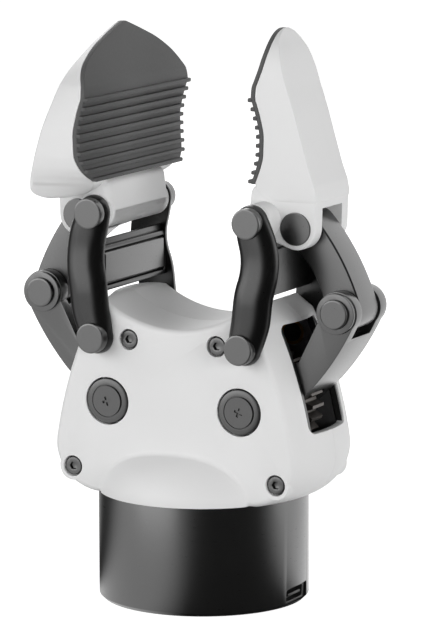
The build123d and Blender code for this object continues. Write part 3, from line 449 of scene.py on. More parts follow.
def flipped(mesh: Mesh, flip_x: int, flip_y: int) -> Mesh:
    """Copy a mesh with its sides changed, its faces still outwards.

    Args:
        mesh: the mesh to copy.
        flip_x: -1 to change right and left, or 1.
        flip_y: -1 to change front and rear, or 1.

    Returns:
        The copy.
    """
    twin = mesh.copy()
    twin.transform(Matrix.Diagonal((flip_x, flip_y, 1, 1)))
    if flip_x * flip_y < 0:
        twin.flip_normals()
    return twin


def cut(mesh: Mesh, cutters: Sequence[Mesh]) -> Mesh:
    """Take cutters out of a closed mesh.

    Args:
        mesh: the closed mesh to cut.
        cutters: closed meshes to take away.

    Returns:
        What is left.
    """
    obj = new_object("cutting", mesh)
    for cutter in cutters:
        tool = new_object("cutter", cutter)
        step = obj.modifiers.new("cut", "BOOLEAN")
        step.operation = "DIFFERENCE"
        step.solver = "EXACT"
        step.object = tool
        mesh = baked(obj)
        bpy.data.objects.remove(tool)
    bpy.data.objects.remove(obj)
    return mesh


def rounded(mesh: Mesh, width: float, segments: int = 3, angle: float = 32.0) -> Mesh:
    """Round the sharp edges of a mesh.

    Args:
        mesh: the mesh, with connected faces.
        width: the rounding's width in millimetres.
        segments: how many strips each rounding has.
        angle: edges sharper than this, in degrees, are rounded.

    Returns:
        The rounded mesh, shaded smooth.
    """
    obj = new_object("rounding", mesh)
    step = obj.modifiers.new("round", "BEVEL")
    step.width = width * MM
    step.segments = segments
    step.limit_method = "ANGLE"
    step.angle_limit = math.radians(angle)
    step.use_clamp_overlap = True
    result = baked(obj)
    bpy.data.objects.remove(obj)
    return smooth(result, angle + ROUND_MARGIN)


def welded_copy(node: str) -> Mesh:
    """Copy a node's loose triangles as one connected mesh with its flat faces whole.

    Args:
        node: the CAD node's name.

    Returns:
        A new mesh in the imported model's frame.
    """
    work = bmesh.new()
    work.from_mesh(FRAME["nodes"][node].data)
    bmesh.ops.remove_doubles(work, verts=work.verts, dist=NODE_WELD * MM)
    bmesh.ops.dissolve_limit(
        work, angle_limit=math.radians(FLAT_ANGLE), verts=work.verts, edges=work.edges
    )
    result = bpy.data.meshes.new(f"{node}_welded")
    work.to_mesh(result)
    work.free()
    return result


def slot_of(node: str) -> str:
    """Look up a node's material slot in the record."""
    return next(part["material_slot"] for part in FRAME["record"]["subparts"] if part["node"] == node)


def dress(node: str, finish: Finish | None = None) -> None:
    """Give a CAD node that keeps its own shape its finish.

    Args:
        node: the CAD node's name.
        finish: its finish, or None for that of its slot.
    """
    obj = FRAME["nodes"][node]
    material = (finish or FINISH_OF_SLOT[slot_of(node)]).material()
    obj.data.materials.clear()
    obj.data.materials.append(material)
    LOG.info("dressed %s in %s", node, material.name)


def stand_in(mesh: Mesh, node: str, body: str, finish: Finish | None = None) -> None:
    """Show a mesh in place of a CAD node.

    Args:
        mesh: the visible mesh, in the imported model's frame.
        node: the CAD node that it replaces.
        body: the body that it rides on.
        finish: its finish, or None for that of the node's slot.
    """
    mesh.materials.clear()
    mesh.materials.append((finish or FINISH_OF_SLOT[slot_of(node)]).material())
    piece = new_object(f"{node}_shown", mesh)
    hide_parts(node)
    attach(piece, body)
    LOG.info("%s: %d faces on %s", piece.name, len(mesh.polygons), body)


def soften(
    node: str, body: str, width: float, segments: int = 3, angle: float = 32.0
) -> None:
    """Show a CAD node with its sharp edges rounded.

    Args:
        node: the CAD node's name.
        body: the body that it rides on.
        width: the rounding's width in millimetres.
        segments: how many strips each rounding has.
        angle: edges sharper than this, in degrees, are rounded.
    """
    stand_in(rounded(welded_copy(node), width, segments, angle), node, body)


def new_tree(name: str, sizes: Iterable[str]) -> tuple[NodeTree, bpy_prop_collection]:
    """Start a node tree that takes points, named sizes and a material.

    Args:
        name: the tree's name.
        sizes: the names of its sizes.

    Returns:
        The tree and the sockets of its inputs.
    """
    tree = bpy.data.node_groups.new(name, "GeometryNodeTree")
    face = tree.interface
    face.new_socket("Geometry", in_out="INPUT", socket_type="NodeSocketGeometry")
    for size in sizes:
        face.new_socket(size, in_out="INPUT", socket_type="NodeSocketFloat")
    face.new_socket("Material", in_out="INPUT", socket_type="NodeSocketMaterial")
    face.new_socket("Geometry", in_out="OUTPUT", socket_type="NodeSocketGeometry")
    return tree, add_node(tree, "NodeGroupInput").outputs


def end_tree(tree: NodeTree, copies: NodeSocket, material: NodeSocket) -> None:
    """End a node tree: make its copies real, give them the material and put them out.

    Args:
        tree: the tree to end.
        copies: the socket with the instances.
        material: the tree's material input.
    """
    real = add_node(tree, "GeometryNodeRealizeInstances", s0=copies)
    dressed = add_node(tree, "GeometryNodeSetMaterial", Geometry=real.outputs[0], Material=material)
    add_node(tree, "NodeGroupOutput", s0=dressed.outputs[0])


def cylinder(tree: NodeTree, sides: int, radius: NodeSocket, depth: NodeSocket) -> NodeSocket:
    """Add a cylinder along Z, centred on the origin.

    Args:
        tree: the tree that gets the node.
        sides: how many sides the cylinder has.
        radius: the socket with its radius.
        depth: the socket with its length.

    Returns:
        The socket with the cylinder.
    """
    settings = {"Vertices": sides}
    made = add_node(tree, "GeometryNodeMeshCylinder", settings, Radius=radius, Depth=depth)
    return made.outputs["Mesh"]


def raised(tree: NodeTree, shape: NodeSocket, height: NodeSocket) -> NodeSocket:
    """Move a shape up along Z by a socket's value."""
    up = add_node(tree, "ShaderNodeCombineXYZ", Z=height)
    return add_node(tree, "GeometryNodeTransform", Geometry=shape, Translation=up.outputs[0]).outputs[0]


def grown(
    name: str, points: Mesh, tree: NodeTree, sizes: dict[str, float], finish: Finish
) -> Mesh:
    """Grow a node tree's copies on points and turn the result into a plain mesh.

    Args:
        name: a name for the object that carries the tree.
        points: the mesh whose vertices get the copies.
        tree: the node tree.
        sizes: the tree's named sizes, in millimetres.
        finish: the finish of its copies.

    Returns:
        The plain mesh.
    """
    obj = new_object(name, points)
    step = obj.modifiers.new(name, "NODES")
    step.node_group = tree
    for item in tree.interface.items_tree:
        if item.in_out == "INPUT" and item.name in sizes:
            step[item.identifier] = sizes[item.name] * MM
        if item.in_out == "INPUT" and item.name == "Material":
            step[item.identifier] = finish.material()
    mesh = baked(obj)
    bpy.data.objects.remove(obj)
    return mesh


def arc_through(start: Flat, middle: Flat, end: Flat, steps: int) -> list[tuple[Flat, Flat]]:
    """Step along the arc through three points.

    Args:
        start: where the arc starts.
        middle: a point that it goes through.
        end: where it ends.
        steps: how many runs it is divided in.

    Returns:
        Pairs of point and unit tangent, from start to end.
    """
    (ax, az), (bx, bz), (cx, cz) = start, middle, end
    twice = 2 * (ax * (bz - cz) + bx * (cz - az) + cx * (az - bz))
    a2, b2, c2 = ax * ax + az * az, bx * bx + bz * bz, cx * cx + cz * cz
    ox = (a2 * (bz - cz) + b2 * (cz - az) + c2 * (az - bz)) / twice
    oz = (a2 * (cx - bx) + b2 * (ax - cx) + c2 * (bx - ax)) / twice
    radius = math.hypot(ax - ox, az - oz)
    first = math.atan2(az - oz, ax - ox)
    sweep = (math.atan2(cz - oz, cx - ox) - first + math.pi) % math.tau - math.pi
    sense = math.copysign(1.0, sweep)
    result = []
    for step in range(steps + 1):
        turn = first + sweep * step / steps
        point = (ox + radius * math.cos(turn), oz + radius * math.sin(turn))
        result.append((point, (-sense * math.sin(turn), sense * math.cos(turn))))
    return result


def filleted(points: Sequence[Flat], radius: float, steps: int) -> list[tuple[Flat, Flat]]:
    """Step along straight runs joined by arcs.

    Args:
        points: the corners of the line, from its start to its end.
        radius: the radius of the arc at each inner corner.
        steps: how many pieces each run and each arc is divided in.

    Returns:
        Pairs of point and unit tangent, from start to end.
    """
    spots = [Vector(point) for point in points]
    ways = [(after - before).normalized() for before, after in zip(spots, spots[1:])]
    bends = [before.angle(after) for before, after in zip(ways, ways[1:])]
    trims = [0.0] + [radius * math.tan(bend / 2) for bend in bends] + [0.0]
    result = []
    for run, way in enumerate(ways):
        first = spots[run] + way * trims[run]
        last = spots[run + 1] - way * trims[run + 1]
        for step in range(steps):
            spot = first.lerp(last, step / steps)
            result.append(((spot.x, spot.y), (way.x, way.y)))
        if run + 1 < len(ways):
            sense = math.copysign(1.0, way.cross(ways[run + 1]))
            across = Vector((-way.y, way.x)) * sense
            middle = last + across * radius
            for step in range(steps):
                turn = Matrix.Rotation(bends[run] * sense * step / steps, 2)
                spot = middle - turn @ across * radius
                ahead = turn @ way
                result.append(((spot.x, spot.y), (ahead.x, ahead.y)))
    result.append(((spots[-1].x, spots[-1].y), (ways[-1].x, ways[-1].y)))
    return result


@dataclass
class Bar:
    """A flat bar with round ends along a line in the XZ plane, soft on its edges.

    width gives the half width from the start, 0, to the end, 1, and depth the y of its inner
    and outer face at a height. The outer edge is rounded by edge across and edge_deep in depth,
    the inner one by inner_edge both ways.
    """

    line: list[tuple[Flat, Flat]]
    width: Callable[[float], float]
    depth: Callable[[float], Flat]
    edge: float
    edge_deep: float
    inner_edge: float
    end_steps: int = 18
    edge_steps: int = 8

    def outline(self, inset: float) -> list[Flat]:
        """Draw the bar's outline, up one side, round the end and down the other.

        Args:
            inset: how far the outline is shrunk.

        Returns:
            The outline's points, as x and z.
        """
        runs = len(self.line) - 1
        left, right = [], []
        for number, ((x, z), (tx, tz)) in enumerate(self.line):
            half = self.width(number / runs) - inset
            left.append((x - tz * half, z + tx * half))
            right.append((x + tz * half, z - tx * half))
        caps = []
        for share, ((x, z), (tx, tz)) in ((1.0, self.line[-1]), (0.0, self.line[0])):
            half = self.width(share) - inset
            toward = 1 if share else -1
            arc = []
            for step in range(1, self.end_steps):
                turn = math.pi * step / self.end_steps
                side = half * math.cos(turn) * toward
                ahead = half * math.sin(turn) * toward
                arc.append((x - tz * side + tx * ahead, z + tx * side + tz * ahead))
            caps.append(arc)
        return left + caps[0] + right[::-1] + caps[1]

    def mesh(self, name: str) -> Mesh:
        """Make the bar, each ring of its skin one outline at its own inset and depth.

        Args:
            name: the mesh's name.

        Returns:
            The closed mesh.
        """
        rings = []
        turns = quarter(self.edge_steps)
        inner_side = [(self.inner_edge, self.inner_edge, turn, False) for turn in turns]
        outer_side = [(self.edge, self.edge_deep, turn, True) for turn in turns[::-1]]
        for across, deep, turn, is_outer in inner_side + outer_side:
            sink = deep * (1 - math.cos(turn))
            ring = []
            for x, z in self.outline(across * (1 - math.sin(turn))):
                inner, outer = self.depth(z)
                ring.append((x, outer - sink if is_outer else inner + sink, z))
            rings.append(ring)
        return self.capped(name, rings)

    def capped(self, name: str, rings: list[list[Point]]) -> Mesh:
        """Join the rings and close both faces with strips across the bar, which keep a jog smooth.

        Args:
            name: the mesh's name.
            rings: the rings, from the inner face to the outer one.

        Returns:
            The closed mesh.
        """
        count = len(rings[0])
        faces = bands(len(rings), count)
        runs = len(self.line) - 1
        caps = self.end_steps - 1
        for low in (0, (len(rings) - 1) * count):
            for step in range(runs):
                far = count - caps - 1 - step
                faces.append((low + step, low + step + 1, low + far - 1, low + far))
            far_end = [low + runs + step for step in range(caps + 2)]
            near_end = [low + (count - caps - 1 + step) % count for step in range(caps + 2)]
            faces += [tuple(far_end), tuple(near_end)]
        return mesh_of(name, [point for ring in rings for point in ring], faces)


def along(rows: Sequence[Sequence[float]], height: float, column: int) -> float:
    """Read a smooth curve through a table's rows.

    Args:
        rows: the stations, each starting with its height.
        height: where to read.
        column: which value to read.

    Returns:
        The value there, on a curve that never overshoots a station.
    """
    low = max(0, min(len(rows) - 2, sum(1 for row in rows if row[0] <= height) - 1))
    rises = [
        (after[column] - before[column]) / (after[0] - before[0]) for before, after in zip(rows, rows[1:])
    ]
    slopes = []
    for station in (low, low + 1):
        before, after = rises[max(0, station - 1)], rises[min(len(rises) - 1, station)]
        slopes.append(2 * before * after / (before + after) if before * after > 0 else 0.0)
    span = rows[low + 1][0] - rows[low][0]
    share = (height - rows[low][0]) / span
    return (
        (2 * share**3 - 3 * share**2 + 1) * rows[low][column]
        + (share**3 - 2 * share**2 + share) * slopes[0] * span
        + (-2 * share**3 + 3 * share**2) * rows[low + 1][column]
        + (share**3 - share**2) * slopes[1] * span
    )


def hull_picks(
    circles: Sequence[Point], steps: int = 64, straight: float = 1e-9
) -> list[tuple[int, float]]:
    """Find which points of which circles lie on the hull round them all.

    Args:
        circles: the circles, each x, z and radius.
        steps: how many points each circle is tried at.
        straight: three points that turn by less than this lie on one line.

    Returns:
        Pairs of a circle's number and a turn, in order round the hull.
    """
    dots = []
    for number, (x, z, radius) in enumerate(circles):
        for step in range(steps):
            turn = math.tau * step / steps
            dots.append((x + radius * math.cos(turn), z + radius * math.sin(turn), number, turn))
    dots.sort()
    halves = []
    for run in (dots, dots[::-1]):
        chain = []
        for dot in run:
            while len(chain) > 1 and (
                (chain[-1][0] - chain[-2][0]) * (dot[1] - chain[-2][1])
                - (chain[-1][1] - chain[-2][1]) * (dot[0] - chain[-2][0])
            ) <= straight:
                chain.pop()
            chain.append(dot)
        halves.append(chain[:-1])
    return [(number, turn) for _, _, number, turn in halves[0] + halves[1]]


def hull_block(name: str, circles: Sequence[Point], half: float, edge: float, steps: int = 5) -> Mesh:
    """Make the hull of circles as a block across the middle plane, with rounded ends.

    Args:
        name: the mesh's name.
        circles: the circles, each x, z and radius.
        half: how far the block reaches to each side.
        edge: the rounding of its ends.
        steps: how many strips each rounding has.

    Returns:
        The closed mesh.
    """
    picks = hull_picks(circles)
    turns = quarter(steps)
    rings = []
    for sense in (-1, 1):
        for turn in turns[::sense * -1]:
            inset, sink = edge * (1 - math.sin(turn)), edge * (1 - math.cos(turn))
            ring = []
            for number, way in picks:
                x, z, radius = circles[number]
                reach = radius - inset
                y = sense * (half - sink)
                ring.append((x + reach * math.cos(way), y, z + reach * math.sin(way)))
            rings.append(ring)
    return ringed(name, rings)


@dataclass
class Base:
    """The round base with its flange and socket, and the drive train inside it."""

    body: str = "housing"
    nodes: tuple[str, ...] = (
        "mount_flange",
        "encoder",
        "motor",
        "planetary_reducer",
        "reducer_screws",
        "control_board",
    )
    housing_round: float = 0.5
    socket_round: float = 0.5 / 3

    def build(self) -> None:
        """Dress the inner nodes and round the housing's and socket's edges."""
        for node in self.nodes:
            dress(node)
        soften("base_housing", self.body, self.housing_round)
        soften("connector_socket", self.body, self.socket_round)


@dataclass
class Shells:
    """The white body: front and rear shells with soft outer edges, and the rims in their slots."""

    body: str = "housing"
    edge_round: float = 0.5
    round_past: float = 38.0

    def build(self) -> None:
        """Round the shells' thin edges and dress what lines them."""
        for node in ("front_shell", "rear_shell"):
            soften(node, self.body, self.edge_round, angle=self.round_past)
        for node in ("inner_frame", "slot_rims", "axle_bushes", "pin_bushes"):
            dress(node)


@dataclass
class Drive:
    """The worm with its bearings, and the wheels and axles that it turns."""

    def build(self) -> None:
        """Dress the drive's nodes, which keep their own shapes."""
        dress("worm_bearings")
        dress("worm")
        for side in Side:
            dress(side.label("worm_wheel"), GREASED_BRONZE)
            dress(side.label("driver_axle"))


# The screws' sizes in millimetres, named as the node tree's inputs
SCREW_SIZES = {
    "Head Radius": 2.75,
    "Head Height": 1.9,
    "Shank Radius": 1.5,
    "Shank Length": 5.5,
    "Socket Radius": 1.35,
    "Socket Depth": 1.3,
    # Under each head, a thin black disc on the pocket's floor is painted shade
    "Washer Radius": 3.3,
    "Washer Height": 0.3,
}


@dataclass
class ShellScrews:
    """The socket-head screws in the shells' pockets, set out by Geometry Nodes."""

    body: str = "housing"
    spots: tuple[Flat, ...] = ((15.5, 84.8), (35.9, 42.4))
    seat_depth: float = 19.2
    edge: float = 0.25
    head_sides: int = 40
    shank_sides: int = 24
    socket_sides: int = 6
    pocket_shade_disc_sides: int = 48

    def points(self) -> Mesh:
        """Set one vertex for each screw's seat, at the front and the rear.

        Returns:
            A mesh of loose vertices.
        """
        mesh = bpy.data.meshes.new("screw_seats")
        places = [
            (side * x * MM, face * self.seat_depth * MM, z * MM)
            for x, z in self.spots
            for side in (1, -1)
            for face in (1, -1)
        ]
        mesh.from_pydata(places, [], [])
        return mesh

    def tree(self) -> NodeTree:
        """Make the node tree that puts one screw on each point, its head away from the middle plane.

        Returns:
            The tree.
        """
        tree, given = new_tree("socket_screws", SCREW_SIZES)
        height = given["Head Height"]
        head = cylinder(tree, self.head_sides, given["Head Radius"], height)
        head = raised(tree, head, maths(tree, "MULTIPLY", height, 0.5))
        shank = cylinder(tree, self.shank_sides, given["Shank Radius"], given["Shank Length"])
        # A hair under half, so that the shank's end is a little inside the head
        shank = raised(tree, shank, maths(tree, "MULTIPLY", given["Shank Length"], -0.499))
        # The hexagon is as high as the head, and is lifted until it goes in by the socket's depth
        key = cylinder(tree, self.socket_sides, given["Socket Radius"], height)
        top = maths(tree, "MULTIPLY", height, 1.5)
        key = raised(tree, key, maths(tree, "SUBTRACT", top, given["Socket Depth"]))
        recessed = add_node(
            tree, "GeometryNodeMeshBoolean", {"operation": "DIFFERENCE", "solver": "EXACT"},
            s0=head, s1=key,
        )
        # A thin black disc under the head paints the shade on the floor of the screw's pocket
        pocket_shade_disc = cylinder(tree, self.pocket_shade_disc_sides, given["Washer Radius"], given["Washer Height"])
        screw = add_node(tree, "GeometryNodeJoinGeometry")
        for piece in (recessed.outputs["Mesh"], pocket_shade_disc, shank):
            tree.links.new(piece, screw.inputs[0])
        position = add_node(tree, "GeometryNodeInputPosition")
        split = add_node(tree, "ShaderNodeSeparateXYZ", s0=position.outputs[0])
        front = maths(tree, "SIGN", split.outputs["Y"])
        outward = add_node(tree, "ShaderNodeCombineXYZ", Y=front)
        turn = add_node(
            tree, "FunctionNodeAlignRotationToVector", {"axis": "Z"}, Vector=outward.outputs[0]
        )
        set_out = add_node(
            tree, "GeometryNodeInstanceOnPoints",
            Points=given["Geometry"], Instance=screw.outputs[0], Rotation=turn.outputs[0],
        )
        end_tree(tree, set_out.outputs[0], given["Material"])
        return tree

    def build(self) -> None:
        """Make the screws, round their heads and show them for the CAD's screws."""
        screws = grown("screws", self.points(), self.tree(), SCREW_SIZES, BLACK_OXIDE)
        stand_in(rounded(screws, self.edge), "shell_screws", self.body)


@dataclass
class PivotCaps:
    """The round caps over the driver axles: a flat ring, a raised disc and a small cross recess."""

    body: str = "housing"
    centre: Flat = (23.3, 64.5)
    seat: float = 16.9
    face: float = 21.6
    radius: float = 7.2
    disc_radius: float = 5.0
    disc_out: float = 0.35
    groove: float = 0.3
    groove_floor: float = 0.24
    cross_reach: float = 1.5
    cross_width: float = 0.8
    cross_turn: float = 20.0
    edge: float = 0.6
    tip: float = 0.01
    crisp: float = 30.0

    def cap(self) -> Mesh:
        """Make the front right cap, turned, with its cross cut in.

        Returns:
            The closed mesh.
        """
        rim, disc, groove = self.radius, self.disc_radius, self.groove
        bevel = self.edge * CHAMFER_SHARE
        front = -self.face - self.disc_out
        profile = [
            (-self.seat, rim),
            (-self.face + self.edge, rim),
            (-self.face + bevel, rim - bevel),
            (-self.face, rim - self.edge),
            (-self.face, disc + groove),
            (-self.face + groove, disc + self.groove_floor),
            (-self.face + groove, disc),
            (front + groove / 2, disc),
            (front, disc - groove / 2),
            (front, self.tip),
        ]
        body = turned("pivot_cap", self.centre, profile)
        cutters = []
        for turn in (self.cross_turn, self.cross_turn + 90):
            bar = block(
                "cross_bar",
                (-self.cross_reach, -self.face - CLEAR, -self.cross_width / 2),
                (self.cross_reach, -self.face + self.disc_out / 2, self.cross_width / 2),
            )
            bar.transform(Matrix.Rotation(math.radians(turn), 4, "Y"))
            bar.transform(Matrix.Translation((self.centre[0] * MM, 0, self.centre[1] * MM)))
            cutters.append(bar)
        return cut(body, cutters)

    def build(self) -> None:
        """Show four caps, mirrored from one, for the CAD's caps."""
        cap = self.cap()
        four = [flipped(cap, flip_x, flip_y) for flip_x in (1, -1) for flip_y in (1, -1)]
        stand_in(smooth(joined("pivot_caps_mesh", four), self.crisp), "pivot_caps", self.body)


@dataclass
class HeadedPin:
    """A pin through the linkage along Y, with a chamfered round head at each end.

    seat and out are how far from the middle plane each head starts and ends, and inner_end is
    where each half starts: 0 for one pin right through. The chamfer takes at most edge_limit of
    the head's height, and the last ring lies support chamfers in from the rim.
    """

    side: Side
    node: str
    body: str
    centre: Flat
    radius: float
    head_radius: float
    seat: float
    out: float
    edge: float = 0.5
    inner_end: float = 0.0
    edge_limit: float = 0.6
    support: float = 1.2
    crisp: float = 25.0

    def half(self, sense: int) -> Mesh:
        """Make one half of the pin, from its inner end to the head's face.

        Args:
            sense: 1 for the rear half, -1 for the front one.

        Returns:
            The closed mesh.
        """
        edge = min(self.edge, (self.out - self.seat) * self.edge_limit)
        bevel = edge * CHAMFER_SHARE
        # The last ring, just inside the chamfer, keeps the head's flat face from being shaded round
        profile = [
            (self.inner_end, self.radius),
            (self.seat, self.radius),
            (self.seat, self.head_radius),
            (self.out - edge, self.head_radius),
            (self.out - bevel, self.head_radius - bevel),
            (self.out, self.head_radius - edge),
            (self.out, self.head_radius - edge * self.support),
        ]
        return turned("pin_half", self.centre, [(sense * y, r) for y, r in profile])

    def build(self) -> None:
        """Show the pin for its CAD node."""
        pin = joined(f"{self.node}_mesh", [self.half(1), self.half(-1)])
        self.side.show(pin, self.node, self.body, self.crisp)


@dataclass
class InnerLink:
    """The pair of jogged arms outside the body and the finger, with the framed panel between them."""

    side: Side
    lower: Flat = (26.0, 85.3)
    bends: tuple[Flat, ...] = ((28.2, 93.5), (29.1, 102.0), (31.6, 111.8))
    upper: Flat = (27.7, 124.5)
    bend_radius: float = 26.0
    half_width: float = 5.6
    belly: float = 0.9
    arm_depth: float = 4.8
    jog_ease: float = 3.5
    lower_middle: float = 24.5
    upper_middle: float = 22.8
    edge: float = 5.2
    edge_deep: float = 4.3
    inner_edge: float = 0.3
    line_steps: int = 12
    crisp: float = 40.0
    pin_head: float = 4.85
    head_sink: float = 2.0
    lower_pin_radius: float = 3.0
    lower_pin_start: float = 11.3
    lower_pin_out: float = 28.1
    upper_pin_radius: float = 2.4
    upper_pin_out: float = 25.9
    panel_face: float = 24.6
    panel_thickness: float = 2.8
    panel_height: Flat = (99.3, 113.8)
    side_rim: float = 1.2
    edge_rim: float = 1.6
    panel_recess: float = 1.3
    window_corner: float = 1.2
    window_steps: int = 6
    lip_height: float = 2.0
    lip_overlap: float = 0.5
    lip_setback: float = 0.8
    lip_thickness: float = 1.0
    lip_edge: float = 0.175
    panel_edge: float = 0.35
    cover_edge: float = 0.2
    cover_round_past: float = 25.0

    def width(self, share: float) -> float:
        """Give the arm's half width: a little fuller between its round ends."""
        return self.half_width + self.belly * (1 - (2 * share - 1) ** 4)

    def depth(self, z: float) -> Flat:
        """Give the arm's depth at a height, easing through the jog.

        Args:
            z: the height.

        Returns:
            The y of the arm's inner and outer face.
        """
        low, high = self.bends[1][1] - self.jog_ease, self.bends[2][1] + self.jog_ease
        share = min(1.0, max(0.0, (z - low) / (high - low)))
        step_in = self.upper_middle - self.lower_middle
        middle = self.lower_middle + step_in * share * share * (3 - 2 * share)
        return (middle - self.arm_depth / 2, middle + self.arm_depth / 2)

    def arm(self) -> Mesh:
        """Make the rear arm of the right side.

        Returns:
            The closed mesh.
        """
        corners = (self.lower, *self.bends, self.upper)
        line = filleted(corners, self.bend_radius, self.line_steps)
        bar = Bar(line, self.width, self.depth, self.edge, self.edge_deep, self.inner_edge)
        return bar.mesh("arm")

    def window(self, half: float) -> Mesh:
        """Make the cutter of the recess in the panel's finger side, with round corners.

        Args:
            half: how far the panel reaches to each side.

        Returns:
            The closed mesh.
        """
        corner, (z0, z1) = self.window_corner, self.panel_height
        wide = half - self.side_rim - corner
        outline = []
        for sense_y, sense_z, first in ((1, 1, 0), (-1, 1, 90), (-1, -1, 180), (1, -1, 270)):
            middle = z1 - self.edge_rim - corner if sense_z > 0 else z0 + self.edge_rim + corner
            for step in range(self.window_steps + 1):
                turn = math.radians(first + 90 * step / self.window_steps)
                y = sense_y * wide + corner * math.cos(turn)
                outline.append((y, middle + corner * math.sin(turn)))
        ends = (self.panel_face - CLEAR, self.panel_face + self.panel_recess)
        return ringed("window", [[(x, y, z) for y, z in outline] for x in ends])

    def panel(self) -> Mesh:
        """Make the cross panel with a recess in its finger side, and the lip above it.

        Returns:
            The panel and the lip in one mesh.
        """
        z0, z1 = self.panel_height
        half = self.lower_middle - self.arm_depth / 2
        plate = block(
            "panel", (self.panel_face, -half, z0), (self.panel_face + self.panel_thickness, half, z1)
        )
        frame = rounded(cut(plate, [self.window(half)]), self.panel_edge)
        low_x = self.panel_face + self.lip_setback
        lip = block(
            "lip",
            (low_x, -self.upper_middle, z1 - self.lip_overlap),
            (low_x + self.lip_thickness, self.upper_middle, z1 + self.lip_height),
        )
        return joined("framed_panel", [frame, rounded(lip, self.lip_edge, segments=2)])

    def build(self) -> None:
        """Show the link, its cover and its pins."""
        rear = self.arm()
        whole = joined("inner_link_mesh", [rear, flipped(rear, 1, -1), self.panel()])
        self.side.show(whole, "inner_link", "inner", self.crisp, BLACK_PAINT)
        cover, body = self.side.label("link_panel"), self.side.label("inner")
        soften(cover, body, self.cover_edge, 2, self.cover_round_past)
        sunk = self.arm_depth / 2 - self.head_sink
        HeadedPin(
            self.side, "lower_pins", "inner", self.lower, self.lower_pin_radius, self.pin_head,
            self.lower_middle + sunk, self.lower_pin_out, inner_end=self.lower_pin_start,
        ).build()
        HeadedPin(
            self.side, "upper_pin", "inner", self.upper, self.upper_pin_radius, self.pin_head,
            self.upper_middle + sunk, self.upper_pin_out,
        ).build()


@dataclass
class OuterLink:
    """The curved strut from the elbow up into the finger."""

    side: Side
    elbow: Flat = (52.0, 96.2)
    middle: Flat = (47.1, 109.3)
    eye: Flat = (37.83, 120.87)
    half: float = 6.4
    eye_radius: float = 6.3
    waist: float = 5.5
    edge: float = 0.7
    edge_steps: int = 5
    line_steps: int = 48
    bush_radius: float = 3.45
    eye_bore: float = 3.9
    crisp: float = 40.0

    def width(self, share: float) -> float:
        """Give the strut's half width: slimmer between its eyes."""
        return self.waist + (self.eye_radius - self.waist) * (2 * share - 1) ** 2

    def depth(self, z: float) -> Flat:
        """Give the y of the strut's two faces, which a Bar asks for by height: the same at each."""
        return (-self.half, self.half)

    def build(self) -> None:
        """Show the strut with its bores and dress its bush."""
        line = arc_through(self.elbow, self.middle, self.eye, self.line_steps)
        edges = (self.edge, self.edge, self.edge)
        bar = Bar(line, self.width, self.depth, *edges, edge_steps=self.edge_steps)
        reach = self.half + CLEAR
        bores = [
            turned("bore", centre, [(-reach, radius), (reach, radius)])
            for centre, radius in ((self.elbow, self.bush_radius), (self.eye, self.eye_bore))
        ]
        self.side.show(cut(bar.mesh("strut"), bores), "outer_link", "outer", self.crisp)
        dress(self.side.label("elbow_bush"))


@dataclass
class DriverLink:
    """The driver with its hub round the worm wheel and its forked elbow."""

    side: Side
    elbow: Flat = (52.0, 96.2)
    edge: float = 2.6
    edge_strips: int = 4
    round_past: float = 40.0
    pin_radius: float = 2.4
    pin_head: float = 4.7
    pin_seat: float = 12.4
    pin_out: float = 13.8

    def build(self) -> None:
        """Show the driver with rounded edges, and its elbow pin."""
        node, body = self.side.label("driver_link"), self.side.label("driver")
        soften(node, body, self.edge, self.edge_strips, self.round_past)
        HeadedPin(
            self.side, "elbow_pin", "driver", self.elbow, self.pin_radius, self.pin_head,
            self.pin_seat, self.pin_out,
        ).build()


# The profile both fingers share, from the foot of the head to the tip: height, x of the pad's
# face, x of the back, and the half widths the pointed arch leaves at the face and at the back
FINGER_PROFILE = (
    (128.8, 35.0, 45.0, 26.0, 30.6),
    (130.8, 28.0, 45.6, 22.4, 31.2),
    (135.2, 23.0, 45.0, 27.9, 32.1),
    (137.0, 23.6, 44.4, 31.0, 32.7),
    (140.0, 24.7, 43.3, 33.8, 33.5),
    (144.0, 25.7, 42.1, 35.1, 34.0),
    (150.0, 25.9, 40.3, 35.2, 33.9),
    (156.0, 24.8, 38.6, 35.2, 32.4),
    (160.0, 23.6, 37.3, 35.2, 31.2),
    (162.0, 23.0, 36.7, 35.1, 30.5),
    (165.0, 23.2, 35.6, 34.5, 29.6),
    (168.0, 24.3, 34.7, 32.7, 27.2),
    (171.0, 25.4, 33.8, 29.9, 23.6),
    (174.0, 26.1, 32.9, 25.3, 19.1),
    (177.0, 26.7, 31.9, 19.2, 14.3),
    (180.0, 27.1, 30.6, 10.9, 8.7),
    (182.2, 27.3, 29.9, 4.2, 3.6),
    (183.2, 27.4, 29.5, 1.0, 0.9),
)


